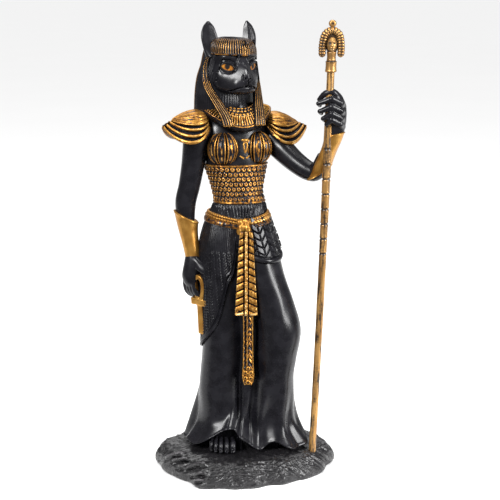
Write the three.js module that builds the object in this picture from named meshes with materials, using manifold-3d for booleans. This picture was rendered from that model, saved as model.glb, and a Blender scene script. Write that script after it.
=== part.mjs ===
// A cast figure of a cat-headed goddess with an ankh and a staff, on a rocky base.
// Sizes are in millimetres and angles in degrees. X runs to the viewer's right, Y away from the viewer, Z up.
import * as THREE from "three";
import { mergeVertices } from "three/addons/utils/BufferGeometryUtils.js";
import Module from "manifold-3d";

const wasm = await Module();
wasm.setup();

const { sin, cos, abs, sqrt, exp, min, max, hypot, round, log, atan2, PI } = Math;
const RAD = PI / 180;
const { lerp, clamp, smoothstep } = THREE.MathUtils;
const V = (x, y, z) => new THREE.Vector3(x, y, z);

// Driving dimensions
const CLEARANCE = 0.35; // between the staff and the fist and socket that hold it
const GROUND = 16.8; // height of the middle of the rocky base
const BELT_TOP = 168.5; // where the skirt is tied at the sides
const BELT_DIP = 4.2; // how far the belt falls to its knot
const CHEST_YAW = 20; // the torso turns to the viewer's right
const HEAD_YAW = 30;
const STAFF_FOOT = V(43.5, -12.5, 8);
const STAFF_TOP = V(53.2, -24.6, 286);
const STAFF_BOW = 0.75; // its middle bends to the right by this much

// Local frames: u runs to the viewer's right, v out of the front, z up
function turned(cx, cy, yaw) {
  const c = cos(yaw * RAD);
  const s = sin(yaw * RAD);
  return (u, v, z) => V(cx + u * c + v * s, cy + u * s - v * c, z);
}
const chest = turned(-6, 3, CHEST_YAW);
const head = turned(-8.5, 1, HEAD_YAW);
const hips = turned(-4.2, 2, 12);

// A function through the rows of a table whose first column is its parameter, smooth between the rows
function keyed(rows) {
  const slope = (i, k) => {
    const a = rows[max(i - 1, 0)];
    const b = rows[min(i + 1, rows.length - 1)];
    return (b[k] - a[k]) / (b[0] - a[0]);
  };
  return (t) => {
    let i = 0;
    while (i < rows.length - 2 && t > rows[i + 1][0]) i++;
    const [a, b] = [rows[i], rows[i + 1]];
    const span = b[0] - a[0];
    const s = clamp((t - a[0]) / span, 0, 1);
    const [p, q] = [s * s * (3 - 2 * s), s * (1 - s)];
    return a.slice(1).map((_, j) => {
      const k = j + 1;
      return a[k] + (b[k] - a[k]) * p + span * q * ((1 - s) * slope(i, k) - s * slope(i + 1, k));
    });
  };
}

// The smallest turn from one angle to another
const turn = (a, b) => ((((a - b) % 360) + 540) % 360) - 180;
const bump = (d, width) => exp(-((d / width) ** 2));
const circle = (n, f) => Array.from({ length: n }, (_, i) => f((360 * i) / n));
const steps = (n, f) => Array.from({ length: n + 1 }, (_, i) => f(i / n));

// Solids

function solid(points, faces) {
  const geometry = new THREE.BufferGeometry();
  geometry.setAttribute("position", new THREE.Float32BufferAttribute(points.flatMap((p) => p.toArray()), 3));
  geometry.setIndex(faces);
  return fromGeometry(geometry);
}

function fromGeometry(geometry) {
  for (const name of ["normal", "uv"]) geometry.deleteAttribute(name);
  const merged = mergeVertices(geometry, 1e-4);
  const vertProperties = merged.attributes.position.array;
  const make = (triVerts) => new wasm.Manifold(new wasm.Mesh({ numProp: 3, vertProperties, triVerts }));
  const made = make(new Uint32Array(merged.index.array));
  return made.volume() > 0 ? made : make(new Uint32Array(merged.index.array).reverse());
}

// A closed solid through rings of points, each ring joined to the next, with a fan over both ends
function loft(rings) {
  const n = rings[0].length;
  const points = rings.flat();
  const faces = [];
  for (let r = 0; r + 1 < rings.length; r++) {
    for (let i = 0; i < n; i++) {
      const [a, b] = [r * n + i, r * n + ((i + 1) % n)];
      faces.push(a, b, b + n, a, b + n, a + n);
    }
  }
  const middle = (ring) => ring.reduce((sum, p) => sum.add(p), V(0, 0, 0)).divideScalar(n);
  const last = (rings.length - 1) * n;
  points.push(middle(rings[0]), middle(rings.at(-1)));
  for (let i = 0; i < n; i++) {
    const j = (i + 1) % n;
    faces.push(j, i, points.length - 2, last + i, last + j, points.length - 1);
  }
  return solid(points, faces);
}

// A limb through rows of x, y, z, radius across and radius deep; its "across" lies square to the side direction
function limb(rows, sides, count, side = V(0, 1, 0)) {
  const path = new THREE.CatmullRomCurve3(rows.map(([x, y, z]) => V(x, y, z)));
  const radii = keyed(rows.map((r, i) => [i / (rows.length - 1), r[3], r[4] ?? r[3]]));
  return loft(
    steps(count, (t) => {
      const centre = path.getPoint(t);
      const across = V().crossVectors(path.getTangent(t), side).normalize();
      const deep = V().crossVectors(across, path.getTangent(t));
      const [a, b] = radii(t);
      return circle(sides, (angle) =>
        centre
          .clone()
          .addScaledVector(across, a * cos(angle * RAD))
          .addScaledVector(deep, b * sin(angle * RAD)),
      );
    }),
  );
}

function ball(centre, [a, b, c], around = 12, high = 8) {
  const geometry = new THREE.SphereGeometry(1, around, high);
  geometry.scale(a, b, c).rotateX(0).translate(centre.x, centre.y, centre.z);
  return fromGeometry(geometry);
}

const join = (...parts) => parts.flat().reduce((sum, part) => sum.add(part));

// Rocky base

const OUTLINE = keyed([
  [0, 58], [18, 59], [34, 57.6], [60, 49], [90, 43.5], [120, 48.2], [150, 56.4], [180, 59.3], [203, 54.2],
  [223, 52.6], [241, 54.6], [257, 50.4], [279, 47.2], [300, 46.2], [324, 50.6], [348, 55], [360, 58],
]);
const ripple = (angle) => 0.9 * sin(angle * RAD * 11) + 0.6 * sin(angle * RAD * 17);
const rim = (angle) => OUTLINE(((angle % 360) + 360) % 360)[0] + ripple(angle);
const ROCK = [
  [0, 0.97], [2.6, 1], [6.6, 0.985], [11, 0.925], [14.2, 0.83], [16, 0.6], [16.8, 0.3],
];

function rockyBase() {
  return loft(
    ROCK.map(([z, share], row) =>
      circle(36, (angle) => {
        const lump = row && 1.1 * sin(angle * RAD * 5 + row * 1.7) * sin(angle * RAD * 8 - row);
        const r = rim(angle) * share;
        return V(r * cos(angle * RAD), r * sin(angle * RAD), z + lump);
      }),
    ),
  );
}

// Skirt

// Height; middle of the cloth; its half width and half depth
const CLOTH = keyed([
  [16, -1, 1.5, 34, 23], [35, 0.2, 1.5, 31, 21.5], [60, 1, 2, 27, 19.5], [90, 2.5, 2.5, 25.5, 18.5],
  [117, 0, 2, 25.5, 18], [134, -2, 2, 25.6, 17.5], [151, -4, 2, 23, 17], [161, -5, 2, 19.8, 15.8],
  [BELT_TOP, -5, 2, 17, 14.4], [176, -4.4, 2, 14.6, 12.4],
]);
// Height; middle and radius of the leg under the cloth
const STANDING_LEG = keyed([
  [16, -19, -3, 16.5], [35, -17.6, -4, 15.6], [60, -15, -5, 14.6], [90, -13.5, -5, 13.6],
  [120, -14, -4, 13.8], [150, -14.5, -3, 13], [176, -10, 0, 9],
]);
const BENT_LEG = keyed([
  [16, 18, -4, 17], [35, 16.8, -5, 15.6], [60, 17.2, -7, 14.2], [75, 19, -9, 14.3], [94, 21.2, -10.5, 14.8],
  [112, 17.3, -9.5, 14.3], [132, 10.5, -7, 13.8], [150, 6, -4, 12.6], [176, 3, 0, 8],
]);
// Folds: angle at the hem, angle where it fades, height where it fades, depth and width of the ridge
const FOLDS = [
  [180, 184, 56, 5.2, 11], [219, 216, 70, 3.4, 11], [285, 292, 100, 4.2, 10], [322, 318, 80, 3.6, 10],
  [353, 350, 74, 3.8, 10], [24, 20, 90, 3.2, 11], [57, 55, 96, 3.4, 12], [91, 88, 110, 3.6, 12],
  [122, 120, 100, 3.4, 11], [151, 158, 60, 7.4, 12],
];
const CREASES = [
  [250, 262, 118, -3.2, 9], [268, 284, 112, -2.6, 6], [238, 243, 78, -1.4, 6],
];
const FOOT_ARCH = [248, 11, 14]; // angle, width and rise of the hem over the foot
const HEM = 26.5;

const lobe = (angle, [at, , , depth, width]) => (depth / 4) * bump(turn(angle, at), width);
const lobes = (angle) => FOLDS.reduce((sum, fold) => sum + lobe(angle, fold), 0);
const hemHeight = (angle) => {
  const [at, width, rise] = FOOT_ARCH;
  return HEM - 6.2 * min(lobes(angle), 1.5) + rise * 0.55 * bump(turn(angle, at), width);
};

// How far out a ray from the cloth's middle leaves a leg, or nothing where it misses
function legReach([x, y, r], dx, dy) {
  const along = x * dx + y * dy;
  const off = abs(x * dy - y * dx);
  return off < r ? along + sqrt(r * r - off * off) : 0;
}

function skirtRadius(angle, z) {
  const [cx, cy, a, b] = CLOTH(z);
  const [dx, dy] = [cos(angle * RAD), sin(angle * RAD)];
  const cloth = 1 / hypot(dx / a, dy / b);
  const legs = [STANDING_LEG(z), BENT_LEG(z)];
  const reaches = [cloth, ...legs.map(([x, y, r]) => legReach([x - cx, y - cy, r], dx, dy))];
  const softest = reaches.reduce((sum, r) => sum + max(r, 0) ** 14, 0) ** (1 / 14);
  const fold = [...FOLDS, ...CREASES].reduce((sum, [low, high, top, depth, width]) => {
    const t = clamp((z - 18) / (top - 18), 0, 1);
    return sum + depth * (1 - t) ** 1.6 * bump(turn(angle, lerp(low, high, t)), width);
  }, 0);
  return softest + fold;
}

function skirtPoint(angle, z, proud = 0, share = 1) {
  const [cx, cy] = CLOTH(z);
  const r = skirtRadius(angle, z) * share + proud;
  return V(cx + r * cos(angle * RAD), cy + r * sin(angle * RAD), z);
}

// Overskirt: the height of its hem by angle
const OVERSKIRT_HEM = keyed([
  [-94, 148], [-88, 146], [-72, 142.5], [-50, 140], [-20, 140.5], [0, 142], [30, 144], [60, 142],
  [90, 136], [120, 120], [150, 98], [172, 83], [184, 80.5], [200, 84.5], [216, 91.5], [229, 101.5],
  [236, 112], [244, 124], [256, 134], [266, 148],
]);
const OVERSKIRT_PROUD = 1.3;
const overskirtHem = (angle) => OVERSKIRT_HEM(angle > 266 ? angle - 360 : angle)[0];

// The skirt stands on a core within its open hem and steps out under the hem of the overskirt
function skirt() {
  const ring = (height, proud = 0, share = 1) =>
    circle(40, (angle) => skirtPoint(angle, height(angle), proud, share));
  const under = (share, rise) =>
    circle(40, (angle) => skirtPoint(angle, hemHeight(angle), 0, share).add(V(0, 0, rise)));
  const lower = [0, 0.06, 0.18, 0.36, 0.58, 1].map((t) =>
    ring((angle) => lerp(hemHeight(angle), overskirtHem(angle), t)),
  );
  const lip = [[0, 0], [1, 0.9], [2.4, 0]].map(([lift, more]) =>
    ring((angle) => overskirtHem(angle) + lift, OVERSKIRT_PROUD + more),
  );
  const upper = [0.3, 0.65, 1].map((t) =>
    ring((angle) => lerp(overskirtHem(angle), BELT_TOP - 1, t), OVERSKIRT_PROUD),
  );
  const core = ring(() => GROUND - 4, 0, 0.68);
  return loft([core, under(0.74, 4), under(0.93, 1.2), ...lower, ...lip, ...upper]);
}

// Belt with its knot, the feathered pendant and the strap under it

const beltHeight = (angle) => BELT_TOP - 0.6 - BELT_DIP * bump(turn(angle, 283), 50);

function belt() {
  const profile = [[-4, -2.6], [2, -2.4], [1.7, 0], [2, 2.4], [-4, 2.6]];
  return loft(
    profile.map(([proud, lift]) => circle(20, (angle) => skirtPoint(angle, beltHeight(angle) + lift, proud))),
  );
}

function knot() {
  const at = (x, z, proud) => {
    const angle = (atan2(-20, x + 4.2) / RAD + 360) % 360;
    return skirtPoint(angle, z, proud);
  };
  return join(
    ball(at(0.8, 164, 1.6), [4.6, 3, 3.4], 8, 6),
    ball(at(-1.6, 161.4, 1.9), [2.4, 2.2, 3], 6, 4),
    ball(at(3.4, 161.2, 1.9), [2.4, 2.2, 3], 6, 4),
  );
}

const PENDANT = {
  top: 160, bottom: 107.4, middle: 0.8, halfTop: 3.9, halfBottom: 7.3, thick: 2.2, barbs: 11,
};
const frontY = keyed([
  [56, -23.2], [70, -22.6], [90, -21.8], [107, -22.6], [125, -21.6], [140, -19.6], [160, -17.6],
]);

function pendant() {
  const { top, bottom, middle, halfTop, halfBottom, thick, barbs } = PENDANT;
  const rings = [];
  for (let i = 0; i <= barbs * 2; i++) {
    const z = lerp(top, bottom, i / (barbs * 2));
    const half = lerp(halfTop, halfBottom, i / (barbs * 2));
    const y = frontY(z)[0] - (i % 2 ? 0 : 0.7);
    const fall = 0.3 * half;
    rings.push([
      V(middle - half, y - thick * 0.6, z - fall),
      V(middle, y - thick, z),
      V(middle + half, y - thick * 0.6, z - fall),
      V(middle + half, y + 9, z - fall),
      V(middle - half, y + 9, z - fall),
    ]);
  }
  return loft(rings);
}

function strap() {
  const rows = [[110, 3.3], [90, 3.2], [74, 3.5], [66, 3.9], [62, 2.6]];
  const rings = rows.map(([z, half]) => {
    const y = frontY(z)[0];
    return [V(2 - half, y - 1.3, z), V(2 + half, y - 1.3, z), V(2 + half, y + 9, z), V(2 - half, y + 9, z)];
  });
  const rosette = [[2, 72, 1.5], [0.4, 68, 1.8], [3.6, 68, 1.8], [2, 64.6, 2]];
  return join(loft(rings), rosette.map(([x, z, r]) => ball(V(x, frontY(z)[0] - 1.2, z), [r, 1.2, r], 5, 4)));
}

// Torso

// Height; middle; half width and half depth; yaw
const TORSO = keyed([
  [160, -4.2, 2, 20, 15, 12], [168, -4.2, 2, 17.5, 13.6, 13], [176.5, -3.7, 2, 15.4, 12.4, 15],
  [183, -4.8, 2.2, 15.2, 12, 17], [192, -5.4, 2.6, 17.2, 13.2, 19], [200, -6, 3, 19.4, 14.4, 20],
  [208, -6.2, 3.2, 20.4, 14.6, 20], [216, -6.3, 3.5, 21.2, 13.8, 20], [224, -6.4, 4, 21, 12, 20],
  [230, -6.5, 4.6, 17.5, 10, 20], [235, -6.7, 4.4, 11.6, 8.4, 20], [240, -7, 3.4, 8, 7.6, 22],
  [252, -7.6, 2, 7.4, 7.6, 26],
]);

function torsoRing(z, proud, sides) {
  const [cx, cy, a, b, yaw] = TORSO(z);
  const at = turned(cx, cy, yaw);
  return circle(sides, (angle) => at((a + proud) * cos(angle * RAD), (b + proud) * sin(angle * RAD), z));
}

// Pleated waistband, then the corset's rows of scales, each row standing proud at its foot
const CORSET = { bottom: 177.4, top: 199.6, rows: 7, proud: 1 };

function torso() {
  const { bottom, top, rows, proud } = CORSET;
  const pitch = (top - bottom) / rows;
  const rimmed = proud + 0.6;
  const profile = [[160, 0], [171, 0.8], [bottom - 1.4, 0.7], [bottom - 1.3, rimmed], [bottom, rimmed]];
  for (let i = 0; i < rows; i++) {
    profile.push([bottom + i * pitch + 0.2, proud + 0.3], [bottom + (i + 1) * pitch - 0.1, proud - 0.4]);
  }
  profile.push([top, rimmed], [top + 1.5, rimmed - 0.1], [top + 1.7, 0]);
  for (const z of [208, 216, 223, 229, 235, 250]) profile.push([z, 0]);
  return loft(profile.map(([z, grow]) => torsoRing(z, grow, 16)));
}

// A fluted breast cup, one lobe of the breastplate
function cup(side) {
  const middle = [side * 11, 8];
  const [wide, deep, tall, z] = [9.8, 9.8, 10.4, 211];
  return loft(
    steps(5, (t) => {
      const polar = lerp(-78, 78, t) * RAD;
      return circle(20, (angle) => {
        const across = cos(polar) * (1 + 0.035 * cos(angle * RAD * 10));
        const u = middle[0] + wide * across * cos(angle * RAD);
        const v = middle[1] + deep * across * sin(angle * RAD);
        return chest(u, v, z + tall * sin(polar));
      });
    }),
  );
}

// The ornament between the cups
function brooch() {
  const face = (z, half) =>
    [[-1, 10], [1, 10], [0.7, 17.4], [-0.7, 17.4]].map(([share, v]) => chest(half * share, v, z));
  return loft([face(216.6, 2.9), face(211, 1.9), face(207.6, 0.8)]);
}

// Broad collar over the shoulders
function collar() {
  const outer = (angle) => 224.6 + 11.2 * cos(angle * RAD) ** 2;
  const ring = (share, lift) =>
    circle(16, (angle) => {
      const u = lerp(8.6, 22.8, share) * cos(angle * RAD);
      const v = lerp(8.2, 16.6, share) * sin(angle * RAD);
      return chest(u, v, lerp(239.5, outer(angle), share ** 1.15) + lift);
    });
  return loft([ring(0, -3), ring(1, -1.4), ring(1, 0), ring(0.5, 0.5), ring(0, 0.4)]);
}

// Layered shoulder guard: nested leaf-shaped plates with raised rims, side -1 or 1
function shoulderGuard(side) {
  // Each plate's rim: outer end, drop of the rim, half width, height at the tip
  const plates = [
    [42.6, 3.2, 11.4, 228.4], [44.4, 6.4, 13, 228], [46.8, 9.8, 14.4, 227.2], [49.2, 13, 15.6, 226.6],
  ];
  const inner = [18.5, 229.5];
  const lift = (u) => (side < 0 ? 1 : -0.8 - 0.09 * (u - 18));
  // The left guard hangs fuller towards its tip, the right one is drawn in by the raised arm
  const [skew, full] = side < 0 ? [0.9, 0.62] : [0.7, 1];
  const edge = (k, s) => {
    const [tip, drop, wide, tipHeight] = plates[k];
    const fallen = drop * sin(PI * s ** skew) ** full;
    const half = wide * sin(PI * s ** 0.75) ** 0.8;
    return [lerp(inner[0], tip, s), half, lerp(inner[1], tipHeight, s) - fallen];
  };
  const crest = (s) => [lerp(inner[0], 41, s), 0, lerp(231.5, 229.5, s) + 3.8 * sin(PI * s ** 0.85)];
  const rings = steps(6, (t) => {
    const s = lerp(0.05, 0.96, t);
    const half = [];
    for (let k = 3; k >= 0; k--) {
      const [u, v, z] = edge(k, s);
      half.push([u, v, z]);
      if (!k) continue;
      const [, v2, z2] = edge(k - 1, s);
      half.push([u - 0.5, lerp(v2 - 0.9, v, 0.12), lerp(z2 - 0.5, z, 0.12)]);
    }
    const [uc, , zc] = crest(s);
    const [u0, v0, z0] = edge(0, s);
    const shoulder = [lerp(u0, uc, 0.6), v0 * 0.62, lerp(z0, zc, 0.76)];
    const front = [...half, shoulder];
    const [u3, v3, z3] = edge(3, s);
    const belly = [-0.55, 0.55].map((share) => [u3 - 2.5, v3 * share, z3 - 2.2 * sin(PI * s)]);
    const back = [...front].reverse().map(([u, v, z]) => [u, -v, z]);
    return [...front, [uc, 0, zc], ...back, ...belly].map(([u, v, z]) => chest(side * u, v, z + lift(u)));
  });
  return loft(rings);
}

// Head

// The cat's face is egg-shaped masses in the head's frame, each a middle and half sizes, blended together
const MASSES = [
  [[0, -2, 264], [14, 14, 13]], // skull
  [[-8.2, 4.2, 256], [5, 7, 6.6]], [[8.2, 4.2, 256], [5, 7, 6.6]], // cheeks
  [[0, 5, 250.2], [8.2, 10, 4]], // jaw
  [[0, 8, 264.4], [4.2, 7, 5]], [[0, 12.4, 259.4], [3.1, 6.6, 4.2]], // bridge of the nose
  [[-3.3, 13.6, 252.8], [3.9, 5.8, 3.2]], [[3.3, 13.6, 252.8], [3.9, 5.8, 3.2]], // whisker pads
  [[0, 17.2, 256.2], [2.8, 3.8, 2.2]], // nose
  [[0, 12.8, 248.4], [4.2, 5.2, 2.4]], // chin
  [[-7, 7.2, 268.6], [5.4, 5, 2.4]], [[7, 7.2, 268.6], [5.4, 5, 2.4]], // brow
];
const BLEND = 1.3;

function headField([u, v, z]) {
  const total = MASSES.reduce((sum, [[cu, cv, cz], [a, b, c]]) => {
    const k = hypot((u - cu) / a, (v - cv) / b, (z - cz) / c);
    return sum + exp(-((k - 1) * min(a, b, c)) / BLEND);
  }, 0);
  return -BLEND * log(total);
}

function catHead() {
  const eye = [0, 3, 258];
  const reach = (direction) => {
    let [near, far] = [0, 40];
    for (let i = 0; i < 18; i++) {
      const r = (near + far) / 2;
      const inside = headField(direction.map((d, k) => eye[k] + d * r)) < 0;
      [near, far] = inside ? [r, far] : [near, r];
    }
    return near;
  };
  return loft(
    steps(10, (t) => {
      const polar = lerp(-84, 84, t) * RAD;
      return circle(16, (angle) => {
        const d = [cos(polar) * cos(angle * RAD), cos(polar) * sin(angle * RAD), sin(polar)];
        const r = reach(d);
        return head(eye[0] + d[0] * r, eye[1] + d[1] * r, eye[2] + d[2] * r);
      });
    }),
  );
}

function ear(side) {
  // Height; distance out; place forward; half width; half thickness; how hollow
  const rows = keyed([
    [0, 12.6, -0.5, 4.4, 3.2, 0], [0.3, 13.6, -1.4, 5.2, 3, 0.6], [0.6, 14.4, -2.6, 5.1, 2.6, 0.7],
    [0.85, 14.2, -3.8, 3.3, 1.8, 0.5], [1, 13.9, -4.8, 0.5, 0.4, 0],
  ]);
  const facing = side * 22 * RAD;
  return loft(
    steps(5, (t) => {
      const [u, v, wide, thick, hollow] = rows(t);
      return circle(8, (angle) => {
        const across = wide * cos(angle * RAD);
        const front = sin(angle * RAD) > 0.01;
        const deep = thick * sin(angle * RAD) * (front ? 1 - 1.5 * hollow * sin(angle * RAD) : 1);
        const earU = side * u + across * cos(facing) + deep * sin(facing);
        const earV = v - across * sin(facing) + deep * cos(facing);
        return head(earU, earV, lerp(268, 290, t));
      });
    }),
  );
}

// Wig: height; place forward and to the side; half width; half depth
const WIG = keyed([
  [208, -12, -1, 17, 5], [214, -11.5, -1.2, 18.8, 7], [222, -10, -1.6, 19.9, 9.5], [235, -6, -2, 20.3, 12],
  [247, -5.5, -2, 19.9, 12], [256, -5, -1.7, 18.8, 12.4], [263, -4.4, -0.8, 17.2, 13],
  [270, -4, 0, 16.2, 13.6], [276, -3.5, 0, 14.2, 12.6], [280, -3, 0, 9.4, 8.8], [281.6, -3, 0, 3, 3],
]);

function wig() {
  const strand = (angle) => 0.4 * cos(angle * RAD * 12);
  const back = loft(
    [208, 222, 235, 247, 259, 270, 277, 281].map((z) => {
      const [forward, side, a, b] = WIG(z);
      return circle(24, (angle) => {
        const u = side + (a + strand(angle)) * cos(angle * RAD);
        const v = forward + (b + strand(angle)) * sin(angle * RAD);
        return head(u, v, z);
      });
    }),
  );
  const lock = (angle) => 0.4 * cos(angle * RAD * 14);
  // Height, half width and half depth
  const fringeRows = [
    [269, 12.6, 11.5], [269.2, 14.6, 13.6], [273.6, 14.5, 13.4], [277.4, 11.8, 11.2], [280, 5.4, 5],
  ];
  const fringe = loft(
    fringeRows.map(([z, a, b]) =>
      circle(28, (angle) => {
        const grown = 1 + lock(angle) / 14;
        const u = a * grown * cos(angle * RAD);
        return head(u, 2 + b * grown * sin(angle * RAD), z - 0.05 * u);
      }),
    ),
  );
  return join(back, fringe);
}

// A front lock of the wig: rows of u, v, z and half width, from the temple to the chest
function lappet(side) {
  const out = side < 0 ? 1 : 0;
  const rows = [
    [side * (14.8 + 0.8 * out), 1, 268, 1.6],
    [side * (15.6 + 2.4 * out), 1.5, 261, 2.6],
    [side * (15 + 4 * out), 4, 251, 3],
    [side * (12.8 + 2.7 * out), 9, 241, 3.4],
    [side * (11.2 + 0.6 * out), 14.2, 232, 3.6],
    [side * 10.4, 17, 225.6, 3.7],
  ];
  const path = new THREE.CatmullRomCurve3(rows.map(([u, v, z]) => V(u, v, z)));
  const half = keyed(rows.map((r, i) => [i / 5, r[3]]));
  const ridges = [
    [-1, -1.4], [-1, 0.7], [-0.5, 1.2], [-0.2, 0.8], [0.2, 1.3], [0.6, 0.8], [1, 0.8], [1, -1.4],
  ];
  return loft(
    steps(6, (t) => {
      const p = path.getPoint(t);
      const [w] = half(t);
      return ridges.map(([across, out]) => {
        const yaw = lerp(HEAD_YAW, CHEST_YAW, t) * RAD;
        const middle = V(0, 0, 0).lerpVectors(V(-8.5, 1, 0), V(-6, 3, 0), t);
        const tilt = lerp(0.75, 0.1, smoothstep(t, 0.1, 0.7));
        const u = p.x + side * across * w * cos(tilt) + side * out * sin(tilt);
        const v = p.y - across * w * sin(tilt) + out * cos(tilt);
        return V(middle.x + u * cos(yaw) + v * sin(yaw), middle.y + u * sin(yaw) - v * cos(yaw), p.z);
      });
    }),
  );
}

// Arms and hands

// Rows of x, y, z and radius
const LOWERED_ARM = [
  [-29.4, -4.6, 230, 5], [-30.4, -5.6, 224, 8], [-31, -5.6, 213, 8.2], [-33, -4.8, 200, 7.3],
  [-35.3, -4, 187, 6.9], [-37.9, -3.4, 175, 6.6], [-37.2, -3.8, 160, 5],
];
const RAISED_ARM = [
  [13.5, 11.5, 225, 5], [17, 10, 217, 8.6], [23.5, 5.4, 209.4, 7.8], [31.6, -1.5, 202.2, 6.9],
  [40, -7.6, 197, 6.2], [45.4, -11.4, 197.4, 5.4], [49.2, -14.8, 207, 4],
];
// Rows of x, y, z, radius and how much the ring leans
const LOWERED_BRACER = [
  [-32.9, -5.6, 139.6, 4, 0], [-33, -5.6, 139.8, 5, 0], [-34.4, -5, 148, 5.4, 0.1],
  [-36.4, -4.2, 158, 6.4, 0.25], [-37.6, -3.6, 167.4, 7.8, 0.5], [-37.6, -3.6, 167.6, 4, 0.5],
];
const RAISED_BRACER = [
  [44.6, -10.4, 197.4, 4, -0.62], [46.8, -11.8, 196.2, 7.6, -0.62], [50.4, -15, 206, 6.9, -0.56],
  [53.6, -17.4, 214, 6.2, -0.37], [55.8, -19, 221.5, 6.1, -0.19], [55.6, -19, 221.6, 3, -0.19],
];

const bracer = (rows) =>
  loft(
    rows.map(([x, y, z, r, lean]) =>
      circle(10, (angle) => {
        const across = r * cos(angle * RAD);
        return V(x + across, y + r * 0.92 * sin(angle * RAD), z - lean * across);
      }),
    ),
  );

function arms() {
  const lowered = limb(LOWERED_ARM, 8, 6);
  const raised = limb(RAISED_ARM, 8, 7, V(-0.5, 0.8, 0.3));
  return join(lowered, raised, bracer(LOWERED_BRACER), bracer(RAISED_BRACER));
}

function staffAt(z) {
  const t = (z - STAFF_FOOT.z) / (STAFF_TOP.z - STAFF_FOOT.z);
  return STAFF_FOOT.clone().lerp(STAFF_TOP, t).add(V(4 * STAFF_BOW * t * (1 - t), 0, 0));
}

// The fist round the staff: four fingers over the front of the shaft and a thumb behind it
const FIST_PALM = [
  [54, -18.4, 216, 4, 3.8], [56.2, -18, 226, 5, 4.6], [57, -18.2, 234, 4.6, 6], [56.4, -18.8, 241, 4.2, 5.4],
  [55, -19.6, 244, 2.4, 3],
];
const FIST_THUMB = [[57, -17, 230, 2.2], [54, -15.4, 237, 2.2], [49.6, -15.6, 243, 2], [47.4, -17.4, 246, 1.1]];
// Height of each finger, how far left its knuckle reaches, and its radius
const FIST_FINGERS = [[243, 46.4, 1.9], [238.8, 44.6, 2.1], [234.6, 44.6, 2.1], [230.6, 46.6, 1.8]];

function curledFinger([z, tip, r]) {
  const { x, y } = staffAt(z);
  const rows = [
    [59.4, -19, z - 1.4, r], [58.2, y - 3, z - 0.6, r], [x + 0.6, y - 4.2, z, r],
    [tip + 1.6, y - 2.2, z + 0.3, r], [tip + 1.8, y + 2.2, z - 0.6, r * 0.9], [x - 1, y + 4.4, z - 1, r * 0.7],
  ];
  return limb(rows, 5, 4, V(0, 0, 1));
}

const fist = () => join(limb(FIST_PALM, 7, 4), FIST_FINGERS.map(curledFinger), limb(FIST_THUMB, 6, 3));

// The lowered hand and the ankh that hangs from its fingers
const HAND_BACK = [
  [-33.4, -5.4, 144, 3.9, 3.6], [-33.8, -5.8, 135, 5, 4.2], [-34.8, -6, 129, 5.8, 4.6],
  [-35.2, -6.6, 123.6, 5, 4.4], [-34, -7.6, 119, 3.4, 3.6],
];
const HAND_THUMB = [
  [-30.4, -7.2, 136, 2.4], [-28.2, -8.6, 131, 2.3], [-27.8, -9.4, 126.4, 2], [-28.6, -9.6, 123.4, 1.1],
];

function hookedFinger(i) {
  const x = -37.4 + i * 0.9;
  const y = -1.8 - i * 2.5;
  const rows = [
    [x, y, 126, 1.9], [x + 0.6, y - 0.6, 120.6, 2], [x + 2.8, y - 0.4, 117, 1.9],
    [x + 6, y, 118.4, 1.7], [x + 7, y, 121.6, 1.2],
  ];
  return limb(rows, 5, 3);
}

const openHand = () => join(limb(HAND_BACK, 7, 4), [0, 1, 2, 3].map(hookedFinger), limb(HAND_THUMB, 5, 3));

const ANKH = { middle: V(-29.2, -10.2, 114), thick: 2, loopWide: 4.2, loopTall: 9, bar: 6.4, stem: 20 };

function ankh() {
  const { middle, thick, loopWide, loopTall, bar, stem } = ANKH;
  const facing = 38 * RAD;
  const place = (across, deep, up) => {
    const x = middle.x + across * cos(facing) + deep * sin(facing) - 0.06 * up;
    const y = middle.y - across * sin(facing) + deep * cos(facing);
    return V(x, y, middle.z + up);
  };
  // A four-sided ring at a height: half width, half thickness as a share of the thickness
  const slice = (up, half, share) =>
    [[-1, -1], [1, -1], [1, 1], [-1, 1]].map(([i, j]) => place(i * half, j * thick * share, up));
  const loop = new THREE.CatmullRomCurve3(
    steps(11, (t) => {
      const a = (-90 + 330 * t + 15) * RAD;
      return V(loopWide * cos(a) * (0.75 + 0.25 * sin(a)), 0, loopTall + loopTall * 0.92 * sin(a));
    }).map((p) => place(p.x, 0, p.z)),
  );
  const hoop = loft(
    steps(11, (t) => {
      const p = loop.getPoint(t);
      const deep = V(sin(facing), cos(facing), 0);
      const out = V().crossVectors(loop.getTangent(t), deep).normalize();
      return [[-1, -1], [1, -1], [1, 1], [-1, 1]].map(([i, j]) =>
        p.clone().addScaledVector(out, i * 1.1).addScaledVector(deep, j * thick * 0.6),
      );
    }),
  );
  // The crossbar flares from its middle to both ends
  const crossbar = loft(
    [[-bar, 2.2], [0, 1.5], [bar, 2.2]].map(([across, half]) =>
      [[-1, -1], [1, -1], [1, 1], [-1, 1]].map(([j, i]) => place(across, j * thick * 0.75, i * half)),
    ),
  );
  const leg = loft([slice(2, 1.9, 0.65), slice(-stem * 0.5, 2, 0.65), slice(-stem, 2.3, 0.65)]);
  return join(hoop, crossbar, leg);
}

// Tip of each toe and its radius
const TOES = [[-22, -23.6, 1.6], [-18.9, -26, 1.8], [-15.5, -27.4, 1.9], [-12, -27.2, 2], [-8.2, -26, 2.3]];

function toe([x, y, r]) {
  const rows = [
    [lerp(-15, x, 0.7), -10, GROUND + 5.5, r * 1.3], [x, y + 7, GROUND + 4.2, r * 1.15],
    [x, y + 3, GROUND + 2.6, r], [x, y, GROUND + 0.4, r * 0.6],
  ];
  return limb(rows, 5, 3);
}

const foot = () => join(ball(V(-15, -12, GROUND + 2.5), [8.6, 12, 6.4], 8, 5), TOES.map(toe));

// Staff

const shaftRadius = keyed([[4, 2.3], [120, 2.35], [190, 2.55], [222, 2.65], [250, 2.4], [262, 2.3]]);
const RINGS = { first: 146, pitch: 9.5, count: 8, width: 0.7, depth: 0.45 };

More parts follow.
